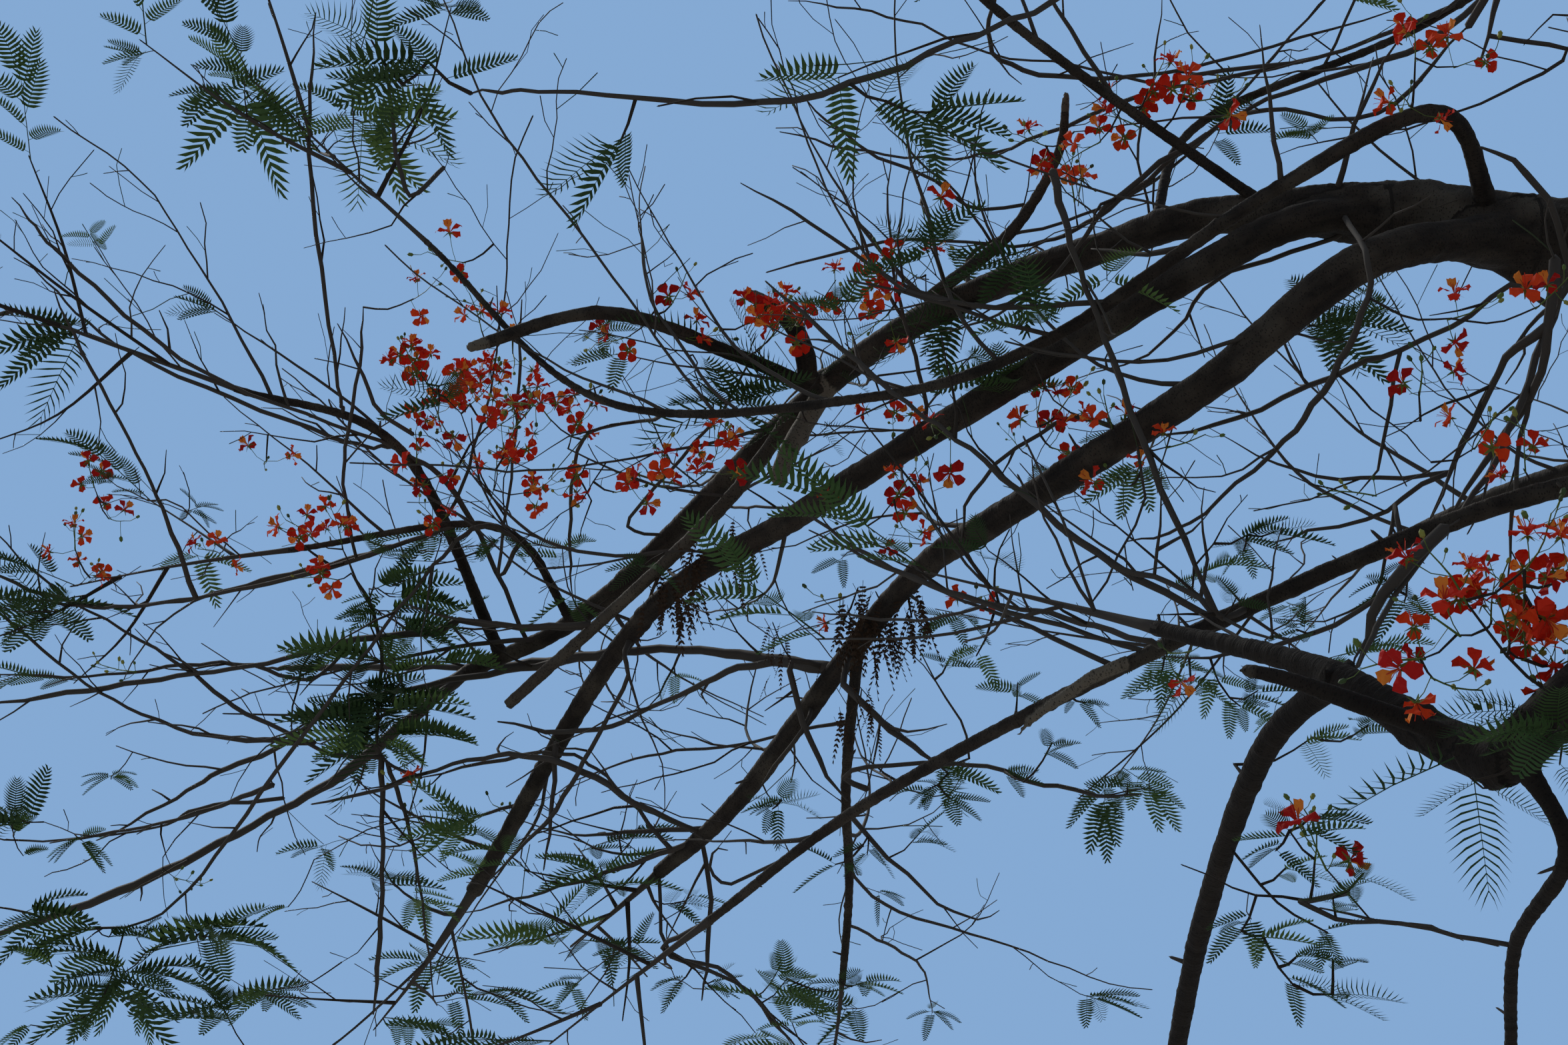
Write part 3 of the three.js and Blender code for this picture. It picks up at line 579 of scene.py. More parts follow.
# Limbs and boughs past the fork, in five bodies of wood. The side with the long level boughs also
# has short broken stubs and strips, black where they are old and pale brown where they tore.
THICK_STUBS = [
    ([(-3.51, 1.73, 5.94), (-3.52, 1.67, 6.01), (-3.54, 1.62, 6.07), (-3.58, 1.57, 6.12),
      (-3.65, 1.53, 6.16), (-3.75, 1.49, 6.20)], (0.040, 0.026), 0.0),
    ([(-3.44, 1.74, 5.95), (-3.52, 1.78, 5.82), (-3.58, 1.77, 5.70), (-3.63, 1.77, 5.56)],
     (0.038, 0.032), 0.85),
    ([(-2.58, 0.65, 4.42), (-2.67, 0.74, 4.41), (-2.74, 0.84, 4.39), (-2.82, 0.94, 4.36),
      (-2.87, 1.03, 4.33)], (0.021, 0.009), 0.75),
]
THIN_STUBS = [
    ([(-3.46, 1.74, 5.92), (-3.77, 1.59, 5.99), (-4.24, 1.44, 6.08), (-4.72, 1.41, 5.92)],
     (0.028, 0.022), 0.0),
    ([(-3.09, 1.24, 6.03), (-2.83, 0.98, 6.13), (-2.68, 0.78, 6.31), (-2.66, 0.61, 6.45)],
     (0.024, 0.013), 0.1),
]
CROOKED_STUBS = [
    ([(-2.08, -0.96, 3.60), (-2.35, -0.95, 3.71), (-2.45, -0.94, 3.75), (-2.54, -0.92, 3.78)],
     (0.024, 0.015), 0.0),
]
OLD_BREAK = 0.25  # how pale the bough that broke off long ago is
TORN = 0.55  # how pale the broken end of a stub is
LINE_STEP = 0.022  # from ring to ring of a limb before it is fused


def carried_on(host, bough):
    """One line from the line of a limb and that of the bough that carries it on from its tip."""
    centres = np.vstack([host[0][:-1], bough[0][1:]])
    radii = np.append(host[1][:-1], bough[1][1:])
    lengths = np.append(host[2][:-1], host[2][-1] - TIP_START + bough[2][1:])
    return centres, radii, lengths


def wood_group(name, names, voxel, softness, weathering, painted_shade, seed, stubs=()):
    """One body of wood holding these limbs."""
    lines = {}
    for limb in (limbs[n] for n in names):
        begin = FORK_LENGTH if limb.parent == "trunk" else 0
        centres, radii, lengths = stretch(limb, begin, math.inf, LINE_STEP)
        if begin == 0:
            radii = swollen(limb, radii, lengths)
        line = (centres, radii, lengths)
        if limb.start == 1:
            line = carried_on(lines.pop(limb.parent), line)
        lines[limb.name] = line
    tubes = [(*line, OLD_BREAK if key == "broken_stub" else 0.0) for key, line in lines.items()]
    for places, (thick, thin), pale in stubs:
        centres = spaced(places, 0.02)
        steps = np.append(0, np.cumsum(np.linalg.norm(np.diff(centres, axis=0), axis=1)))
        radii = np.linspace(thick, thin, len(centres))
        radii[-3:] *= (0.93, 0.78, 0.5)
        tubes.append((centres[:-4], radii[:-4], steps[:-4], pale))
        tubes.append((centres[-5:], radii[-5:], steps[-5:], max(pale, TORN)))
    piece = fused_wood(name, tubes, voxel, softness, weathering, painted_shade, seed)
    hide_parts(*names)


WEST_THICK = ["west_limb", "upper_bough", "middle_bough", "lower_bough", "long_low_bough"]
WEST_THIN = ["plumb_bough", "arch_bough", "top_bough", "rising_bough", "far_left_bough", "level_bough",
             "broken_stub"]
CROOKED = ["crooked_limb", "crooked_bough", "falling_bough", "inner_bough"]
FRONT_LEFT = ["front_left_bough", "front_bough", "front_left_crown_bough"]
FRONT_RIGHT = ["front_right_limb", "front_right_bough", "front_middle_bough", "front_right_crown_bough"]
RIGHT = ["right_limb", "back_right_bough", "right_crown_bough"]
BACK = ["back_limb", "back_left_bough", "back_bough", "back_crown_bough"]
# Painted shade darkens the bark of each body of wood: most on the near front left limb, which stands in the
# crown's shade, less on the right and back, and none on the west side.
wood_group("west_wood", WEST_THICK, voxel=0.0114, softness=5, weathering=0.40, painted_shade=0.0, seed=21,
           stubs=THICK_STUBS)
wood_group("west_thin_wood", WEST_THIN, voxel=0.0080, softness=4, weathering=0.40, painted_shade=0.0, seed=25,
           stubs=THIN_STUBS)
wood_group("front_left_wood", ["front_left_limb"] + CROOKED + FRONT_LEFT, voxel=0.0110, softness=6,
           weathering=0.15, painted_shade=0.55, seed=22, stubs=CROOKED_STUBS)
wood_group("right_wood", FRONT_RIGHT + RIGHT, voxel=0.0140, softness=5, weathering=0.35, painted_shade=0.15,
           seed=23)
wood_group("back_wood", BACK, voxel=0.0140, softness=5, weathering=0.35, painted_shade=0.15, seed=24)


# Thin wood. Stems, twigs and side twigs of living wood, round and knobbly, grey where they are old,
# brown and then green where they are young. Each mass of foliage starts at the tip of its bough,
# by the same rule as the solids, and its twigs bear finer ones. Each root sits in its parent.
MASSES = [  # each has its bough, reach, lift and number of twigs
    ("upper_bough", 1.15, 0, 5), ("middle_bough", 1.35, -0.2, 5), ("lower_bough", 0.85, -0.15, 6),
    ("plumb_bough", 1.05, -0.7, 5), ("long_low_bough", 1.25, -0.3, 6),
    ("crooked_bough", 1.15, 0.1, 4), ("falling_bough", 1.3, -0.3, 4), ("inner_bough", 1.0, -0.5, 4),
    ("arch_bough", 1.5, 0.6, 5), ("top_bough", 1.5, 0.9, 5), ("rising_bough", 1.9, 0.15, 5),
    ("far_left_bough", 1.45, 0.25, 5), ("level_bough", 1.35, -0.1, 5),
    ("front_left_limb", 2.0, 0.05, 6), ("front_left_bough", 2.0, 0.05, 6),
    ("front_bough", 2.0, 0.05, 6), ("front_left_crown_bough", 1.7, 0.5, 6),
    ("front_right_limb", 2.0, 0, 6), ("front_right_bough", 2.0, 0.05, 6),
    ("front_middle_bough", 1.9, 0.05, 6), ("front_right_crown_bough", 1.7, 0.5, 6),
    ("right_limb", 2.1, 0.05, 6), ("back_right_bough", 2.1, 0.05, 6),
    ("right_crown_bough", 1.8, 0.45, 6), ("back_limb", 2.1, 0, 6), ("back_left_bough", 1.9, 0, 6),
    ("back_bough", 2.0, 0, 6), ("back_crown_bough", 1.7, 0.45, 6),
]
WEST_END, FRONT_END = 13, 21  # where the masses of the west side end, and those of the front
JOINT_GAP = 0.0003
RING_SPACING = 0.54
SPACE_MARGIN = 0.006
LIMB_MARGIN = 0.012
TWIG_RADIUS = 0.008
STEM_STEPS = 3
TWIG_STEPS = 2
GOLDEN_TURN = 2.39996
FIRST_SEED = 1000
SEED_STEP = 77
FLOWER_HEAD = 0.12
FLOWER_SHARE = 0.14
SPRAYS = [(0.72, 0.3, 0.3), (0.94, 2.7, 0.6)]  # place on the twig, turn round it, lean ahead
GREY, BROWN, GREEN = 0, 1, 2
TWIG_TONES = [("twig_grey", (0.060, 0.051, 0.043)), ("twig_brown", (0.031, 0.024, 0.018)),
              ("twig_green", (0.040, 0.058, 0.022))]
STRAY = random.Random(5)


def numbers(seed):
    """A repeatable run of numbers from 0 to 1."""
    word = 0xFFFFFFFF
    state = seed
    while True:
        state = (state + 0x6D2B79F5) & word
        mixed = ((state ^ (state >> 15)) * (state | 1)) & word
        mixed ^= (mixed + (((mixed ^ (mixed >> 7)) * (mixed | 61)) & word)) & word
        yield ((mixed ^ (mixed >> 14)) & word) / 2**32


def limb_pieces():
    """The straight lengths that a limb's line has in the solids: ends, lower radius and owner."""
    low, high, radius, owner = [], [], [], []
    for limb in limbs.values():
        span = np.linalg.norm(np.diff(limb.knots, axis=0), axis=1).sum()
        shares = np.linspace(0, 1, max(3, math.floor(span / RING_SPACING + 0.5)) + 1)
        centres = curve_at(limb.knots, shares)
        low.append(centres[:-1])
        high.append(centres[1:])
        radius.append(limb.radius_at(shares[:-1]))
        owner += [limb.name] * (len(shares) - 1)
    return np.vstack(low), np.vstack(high), np.concatenate(radius), np.array(owner)


PIECE_LOW, PIECE_HIGH, PIECE_RADIUS, PIECE_OWNER = limb_pieces()


def clear_of_limbs(a, b, radius, own=""):
    """True if the straight length a to b passes every limb but its own with room to spare."""
    ab, cd, ca = b - a, PIECE_HIGH - PIECE_LOW, a - PIECE_LOW
    abab, cdcd, abcd = ab @ ab, (cd * cd).sum(1), cd @ ab
    abca, cdca = ca @ ab, (cd * ca).sum(1)
    cross = abab * cdcd - abcd * abcd
    s = np.where(cross > 1e-21, (abcd * cdca - abca * cdcd) / np.maximum(cross, 1e-21), 0)
    s = np.clip(s, 0, 1)
    t = (abcd * s + cdca) / cdcd
    beyond = (t < 0) | (t > 1)
    t = np.clip(t, 0, 1)
    s = np.where(beyond, np.clip((abcd * t - abca) / abab, 0, 1), s)
    gaps = np.linalg.norm(ca + ab * s[:, None] - cd * t[:, None], axis=1)
    clear = gaps >= PIECE_RADIUS + radius + LIMB_MARGIN
    return bool((clear | (PIECE_OWNER == own)).all())


def bent_run(start, first, then, length, steps):
    """A bent run from a start: it sets off one way and turns towards another."""
    points = [start]
    for k in range(steps):
        mix = (k + 0.5) / steps
        points.append(points[-1] + unit(first * (1 - mix) + then * mix) * length / steps)
    return np.array(points)


class Mass:
    """One mass of foliage: where it starts, how it heads, and the space that it keeps to."""

    def __init__(self, index, bough, reach, lift, twigs):
        limb = limbs[bough]
        self.index = index
        self.bough = bough
        self.reach = reach
        self.twigs = twigs
        self.tip = limb.knots[-1]
        self.along = heading_at(limb.knots, 1)
        self.girth = limb.radius[1]
        self.heading = unit(self.along + 0.5 * unit(self.tip * (1, 1, 0)) + lift * UP)
        self.middle = self.tip + self.heading * reach * 0.5

    def keep_to(self, others):
        ways = np.array([other.middle - self.middle for other in others if other is not self])
        spans = np.linalg.norm(ways, axis=1)
        self.ways = ways / spans[:, None]
        self.halves = spans / 2 - SPACE_MARGIN

    def holds(self, points):
        """Which of these points lie in the space of this mass."""
        return ((points - self.middle) @ self.ways.T <= self.halves).all(-1)


masses = [Mass(index, *row) for index, row in enumerate(MASSES)]
for mass in masses:
    mass.keep_to(masses)


def spray_places(mass, run, chances):
    """The leaf sprays at the end of a twig, each as its root, direction and length."""
    kept = []
    way = unit(run[-1] - run[-2])
    side = unit(np.cross(way, UP))
    top = unit(np.cross(side, way))
    for (at, turn, ahead), chance in zip(SPRAYS, chances):
        lean = side * math.cos(turn) + top * math.sin(turn)
        direction = unit(way * (ahead + 0.4 * chance) + lean)
        root = run[-2] + (run[-1] - run[-2]) * at + direction * TWIG_RADIUS * 0.1
        length = 0.52 + 0.16 * chance
        width = 0.22 + 0.07 * chance
        across = unit(np.cross(direction, UP)) * width / 2
        broad = root + direction * length * 0.42
        tip = root + direction * length - UP * length * 0.12
        corners = np.array([root, tip, broad - across, broad + across])
        if mass.holds(corners).all() and clear_of_limbs(root, tip, width / 2):
            kept.append((root, direction, length))
    return kept


def grown_mass(mass):
    """The stem, twigs, sprays and flower heads of a mass, by the rule of the solids."""
    draw = numbers(FIRST_SEED + SEED_STEP * mass.index)
    foot = mass.tip + mass.along * JOINT_GAP
    stem = bent_run(foot, mass.along, mass.heading, mass.reach * 0.78, STEM_STEPS)
    side = unit(np.cross(mass.heading, UP))
    other = unit(np.cross(side, mass.heading))
    first = next(draw) * math.pi * 2
    twigs, sprays, heads = [], [], []
    for k in range(mass.twigs):
        share = 0.2 + 0.7 * (k + next(draw) * 0.5) / mass.twigs
        turn = first + k * GOLDEN_TURN + (next(draw) - 0.5) * 0.7
        opening = 0.75 + 0.5 * next(draw)
        length = mass.reach * (0.5 + 0.22 * next(draw))
        chances = [next(draw) for _ in range(3)]
        low = min(STEM_STEPS - 1, int(share * STEM_STEPS))
        root = stem[low] + (stem[low + 1] - stem[low]) * (share * STEM_STEPS - low)
        away = side * math.cos(turn) + other * math.sin(turn)
        first_way = mass.heading * math.cos(opening) + away * math.sin(opening)
        then_way = unit(first_way + 0.5 * mass.heading + 0.35 * UP)
        twig = bent_run(root, first_way, then_way, length, TWIG_STEPS)
        spans = zip(twig[:-1], twig[1:])
        free = all(clear_of_limbs(a, b, TWIG_RADIUS * 1.5, mass.bough) for a, b in spans)
        if not (free and mass.holds(twig).all()):
            continue
        twigs.append(twig)
        sprays += spray_places(mass, twig, chances)
        if chances[2] < FLOWER_SHARE:
            heads.append(twig[-1] + unit(twig[-1] - twig[-2]) * FLOWER_HEAD / 2)
    sprays += spray_places(mass, stem, [next(draw) for _ in range(3)])
    return stem, twigs, sprays, heads


def wander(root, way, length, lift=0.5, stray=1.0):
    """The line of a shoot: it sets off one way, strays a little at each node and turns upwards."""
    count = max(2, round(length / 0.085))
    step = length / count
    side = unit(np.cross(way, (0.21, 0.34, 1)))
    curl = np.array([STRAY.gauss(0, 0.75) for _ in range(3)])
    points = [root]
    for k in range(count):
        kink = np.array([STRAY.gauss(0, 1.7) for _ in range(3)])
        zigzag = side * (1.1 if k % 2 else -1.1)
        way = unit(way + step * (lift * UP + stray * (curl + kink + zigzag)))
        points.append(points[-1] + way * step)
    return np.array(points)


def limb_finder():
    """Finds the nearest place on the lines of the limbs, and keeps their radii."""
    places, girths = [], []
    for limb in limbs.values():
        centres, radii, _ = limb.stations(0.05)
        places.append(centres)
        girths.append(radii)
    places, girths = np.vstack(places), np.concatenate(girths)
    finder = kdtree.KDTree(len(places))
    for index, place in enumerate(places):
        finder.insert(place, index)
    finder.balance()
    return finder, places, girths


FINDER, LIMB_PLACES, LIMB_GIRTHS = limb_finder()
BOX_LOW, BOX_HIGH = np.array(cad_box[0]), np.array(cad_box[1])
CROWN_FOOT = 2.2  # no shoot hangs lower than this
CROWN_EDGE = 0.02  # how far inside the crown of the solids the shoots end
CLEARANCE = 0.01  # between a shoot and the limbs that it passes


def free_length(points, radius, skip):
    """How many of the points can be kept before the line meets a limb or leaves the crown."""
    for index, point in enumerate(points):
        if (point < BOX_LOW + CROWN_EDGE).any() or (point > BOX_HIGH - CROWN_EDGE).any():
            return index
        if point[2] < CROWN_FOOT:
            return index
        if index >= skip:
            _, nearest, gap = FINDER.find(point)
            if gap < LIMB_GIRTHS[nearest] + radius + CLEARANCE:
                return index
    return len(points)


OPEN_MASSES = ("crooked_bough", "falling_bough", "inner_bough")  # the sky shows through these
TWIG_RADII = (0.009, 0.0062, 0.0042)  # of the thickest side twigs, and of those that they bear
KEPT_CLEAR = 99  # skips the look for limbs, where the rule of the solids keeps clear of them
STEM_ROOT = 0.03  # how deep the foot of a stem sits in its bough
SPUR_SHARE = 0.3  # of the shoots along a limb, those that are only short spurs
NEWEST = 400  # shoots, among which a whip looks for its foot
NEAR_FOOT = 0.12  # a first place this near to the foot of a whip is left out
TOUCHING = 0.02  # wood this near to a place needs no twig to reach it


class Growth:
    """The thin wood of one side of the crown, and the ends of its shoots."""

    def __init__(self, name):
        self.name = name
        self.runs = []
        self.ends = []
        self.sprays = []
        self.heads = []

    def add(self, points, thick, thin, tone, sides, skip=2, taper=0.8):
        """Adds a shoot, cut short where it would meet a limb. Gives its line and radii."""
        kept = free_length(points, thick, skip)
        if kept < 3:
            return None
        points = points[:kept]
        radii = thick + (thin - thick) * np.linspace(0, 1, kept) ** taper
        self.runs.append((points, radii, tone, sides))
        return points, radii

    def end_at(self, points):
        """Keeps the end of a shoot, and its way there, for what it may carry."""
        self.ends.append((points[-1], unit(points[-1] - points[-2])))

    def side_twigs(self, line, level, spacing, longest, bare):
        """Side twigs of a shoot, on one side and then the other, with finer ones of their own."""
        points, radii = line
        lengths = np.append(0, np.cumsum(np.linalg.norm(np.diff(points, axis=0), axis=1)))
        total = lengths[-1]
        at = bare * total + spacing * STRAY.uniform(0.2, 1.0)
        hand = STRAY.choice((-1, 1))
        while at < 0.94 * total:
            low = min(int(np.searchsorted(lengths, at)), len(points) - 1)
            way = unit(points[low] - points[low - 1])
            root = points[low - 1] + way * (at - lengths[low - 1])
            side = unit(np.cross(way, UP) + 0.05 * way)
            over = np.cross(side, way)
            roll = STRAY.gauss(0, 0.75)
            away = hand * side * math.cos(roll) + over * math.sin(roll)
            opening = STRAY.uniform(0.55, 1.0)
            first = way * math.cos(opening) + away * math.sin(opening)
            length = min(longest, (total - at) * STRAY.uniform(0.45, 0.85) + 0.09)
            length *= STRAY.choice((0.35, 0.6, 1, 1))
            thick = min(0.66 * radii[low], TWIG_RADII[level])
            tone = (GREY, BROWN, GREEN)[max(0, level - STRAY.randrange(2))]
            grown = self.add(wander(root, first, length), thick, 0.0019, tone, 4 if level < 2 else 3)
            if grown:
                if level < 2 and length > 0.20:
                    self.side_twigs(grown, level + 1, spacing * 0.85, longest * 0.45, bare=0.2)
                self.end_at(grown[0])
            hand = -hand
            at += spacing * STRAY.uniform(0.6, 1.5)

    def mass(self, mass):
        """The stem and twigs of a mass, with finer twigs, and the places of its sprays."""
        stem, twigs, sprays, heads = grown_mass(mass)
        stem[0] = mass.tip - mass.along * STEM_ROOT
        line = self.add(spaced(stem, 0.08), mass.girth, 0.004, GREY, 6, skip=KEPT_CLEAR, taper=0.45)
        sparse = mass.bough in OPEN_MASSES
        if line:
            self.side_twigs(line, 0, 0.6 if sparse else 0.22, longest=0.85, bare=0.1)
            self.end_at(line[0])
        for twig in twigs:
            thick = 0.006 if sparse else 0.0095
            tone = STRAY.choice((GREY, BROWN))
            line = self.add(spaced(twig, 0.08), thick, 0.0028, tone, 5, skip=KEPT_CLEAR)
            if line:
                self.side_twigs(line, 1, 0.5 if sparse else 0.18, longest=0.60, bare=0.15)
                self.end_at(line[0])
        if sparse:
            sprays = sprays[::3]
        self.sprays += sprays
        self.heads += heads

    def limb_shoots(self, name, spacing, longest):
        """Side shoots and spurs along the outer part of a limb."""
        limb = limbs[name]
        centres, radii, lengths = limb.stations(0.05)
        along, side, other = cross_ways(centres)
        at = lengths[-1] * (0.5 if limb.parent == "trunk" else 0.22)
        while at < lengths[-1] - 0.1:
            low = int(np.searchsorted(lengths, at))
            turn = STRAY.uniform(0, 2 * math.pi)
            out = math.cos(turn) * side[low] + math.sin(turn) * other[low]
            if out[2] < -0.35:
                out = out * (1, 1, -1)
            root = centres[low] + out * radii[low] * 0.75
            if STRAY.random() < SPUR_SHARE:
                spur = root + np.outer((0, radii[low] * 0.5, radii[low] + 0.02), unit(out + 0.4 * along[low]))
                self.runs.append((spur, np.array([0.4, 0.3, 0.2]) * min(radii[low], 0.02), GREY, 5))
            else:
                length = longest * STRAY.uniform(0.3, 1.0)
                first = unit(out + along[low] * STRAY.uniform(0.7, 2.4))
                thick = min(0.5 * radii[low], STRAY.uniform(0.006, 0.012))
                line = self.add(wander(root, first, length, 0.35, 0.45), thick, 0.0026, GREY, 5)
                if line:
                    self.side_twigs(line, 1, spacing=0.22, longest=0.65, bare=0.15)
                    self.end_at(line[0])
            at += spacing * STRAY.uniform(0.5, 1.5)

    def whip(self, places, thick, thin):
        """A long whip that grows from the nearest limb or from an earlier whip."""
        start = places[0]
        _, nearest, gap = FINDER.find(start)
        base = LIMB_PLACES[nearest]
        for points, _, _, _ in self.runs[-NEWEST:]:
            gaps = np.linalg.norm(points - start, axis=1)
            if gaps.min() < gap:
                gap = gaps.min()
                base = points[gaps.argmin()]
        line = spaced([base, *places[(1 if gap < NEAR_FOOT else 0):]], 0.07)
        nodes = np.arange(len(line))
        sway = np.column_stack([np.sin(nodes * 2.1 + line[0, 0] * 9), np.sin(nodes * 1.7 + line[0, 2] * 7),
                                np.cos(nodes * 1.9)])
        line[1:] += 0.004 * sway[1:]
        radii = np.linspace(thick, thin, len(line)) * np.clip(0.4 + 0.2 * nodes[::-1], 0, 1)
        self.runs.append((line, radii, GREY, 6))
        self.side_twigs((line, radii), 1, spacing=0.38, longest=0.55, bare=0.08)
        self.end_at(line)

    def reach_out(self, place, thick=0.0042):
        """A thin twig from the nearest wood to a place. Gives the way in which it arrives."""
        place = np.array(place, float)
        _, nearest, best = FINDER.find(place)
        base = LIMB_PLACES[nearest]
        for points, _, _, _ in self.runs:
            gaps = np.linalg.norm(points - place, axis=1)
            if gaps.min() < best:
                best = gaps.min()
                base = points[gaps.argmin()]
        if best < TOUCHING:
            return unit(place - LIMB_PLACES[nearest])
        middle = (base + place) / 2 - UP * 0.12 * best
        line = spaced([base, middle, place], 0.06)
        self.runs.append((line, np.linspace(thick, 0.0024, len(line)), BROWN, 5))
        return unit(line[-1] - line[-2])


def swept(runs):
    """The joined surface of many round twigs, each closed, knobbly and pointed at its end."""
    places, tris, quads, tri_tones, quad_tones, count = [], [], [], [], [], 0
    groups = {}
    for run in runs:
        groups.setdefault((len(run[0]), run[3]), []).append(run)
    for (length, sides), group in sorted(groups.items(), key=lambda item: item[0]):
        line = np.array([run[0] for run in group])
        radii = np.array([run[1] for run in group])
        tones = np.array([run[2] for run in group])
        along = np.gradient(line, axis=1)
        along /= np.linalg.norm(along, axis=2)[:, :, None]
        side = np.cross(along[:, 0], np.where(abs(along[:, 0, 2:]) > 0.8, (1.0, 0, 0), (0, 0, 1.0)))
        rings = []
        for k in range(length):
            side = side - along[:, k] * (side * along[:, k]).sum(1)[:, None]
            side /= np.linalg.norm(side, axis=1)[:, None]
            other = np.cross(along[:, k], side)
            turn = np.linspace(0, 2 * math.pi, sides, endpoint=False)
            out = np.cos(turn)[:, None] * side[:, None] + np.sin(turn)[:, None] * other[:, None]
            knob = 1 + 0.17 * np.sin(12.9 * (k + line[:, 0, 0] * 31))
            rings.append(line[:, k, None] + out * (radii[:, k] * knob)[:, None, None])
        foot = line[:, :1] - along[:, :1] * radii[:, :1, None]
        tip = line[:, -1:] + along[:, -1:] * radii[:, -1:, None] * 2.5
        body = np.concatenate([foot, np.stack(rings, 1).reshape(len(group), -1, 3), tip], 1)
        ring, around = np.meshgrid(np.arange(length - 1), np.arange(sides), indexing="ij")
        near = 1 + ring * sides + around
        far = 1 + ring * sides + (around + 1) % sides
        quad = np.stack([near, far, far + sides, near + sides], -1).reshape(-1, 4)
        here = np.arange(sides)
        beside = (here + 1) % sides
        last = 1 + (length - 1) * sides
        caps = np.concatenate([
            np.stack([np.zeros(sides, int), 1 + beside, 1 + here], -1),
            np.stack([np.full(sides, last + sides), last + here, last + beside], -1)])
        starts = count + np.arange(len(group))[:, None, None] * body.shape[1]
        places.append(body.reshape(-1, 3))
        quads.append((starts + quad).reshape(-1, 4))
        tris.append((starts + caps).reshape(-1, 3))
        quad_tones.append(np.repeat(tones, len(quad)))
        tri_tones.append(np.repeat(tones, len(caps)))
        count += body.shape[0] * body.shape[1]
    faces = np.concatenate(quads).tolist() + np.concatenate(tris).tolist()
    return np.concatenate(places), faces, np.concatenate(quad_tones + tri_tones)


def plain_finish(name, colour, roughness, shine=0.25):
    """A plain finish of one colour."""
    made = bpy.data.materials.new(name)
    made.use_nodes = True
    shader = made.node_tree.nodes["Principled BSDF"]
    shader.inputs["Base Color"].default_value = (*colour, 1)
    shader.inputs["Roughness"].default_value = roughness
    shader.inputs["Specular IOR Level"].default_value = shine
    return made


def joined_piece(name, places, faces, tones, finishes, smooth):
    """One joined piece of many small things, each face with the finish of its tone."""
    mesh = bpy.data.meshes.new(name)
    mesh.from_pydata(places.tolist(), [], faces)
    for finish in finishes:
        mesh.materials.append(finish)
    mesh.polygons.foreach_set("material_index", tones.astype(np.int32))
    mesh.polygons.foreach_set("use_smooth", np.full(len(faces), smooth))
    mesh.update()
    piece = bpy.data.objects.new(name, mesh)
    bpy.context.collection.objects.link(piece)
    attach(piece, "root")
    return piece


west, front, back = Growth("west"), Growth("front"), Growth("back")
for mass in masses:
    growth = west if mass.index < WEST_END else front if mass.index < FRONT_END else back
    growth.mass(mass)
for name in WEST_THICK + WEST_THIN:
    west.limb_shoots(name, 0.5 if name == "long_low_bough" else 0.24, longest=1.9)
for name in CROOKED:
    west.limb_shoots(name, spacing=0.7, longest=0.9)
for name in ["front_left_limb"] + FRONT_LEFT + FRONT_RIGHT:
    front.limb_shoots(name, spacing=0.34, longest=1.9)
for name in RIGHT + BACK:
    back.limb_shoots(name, spacing=0.34, longest=1.9)

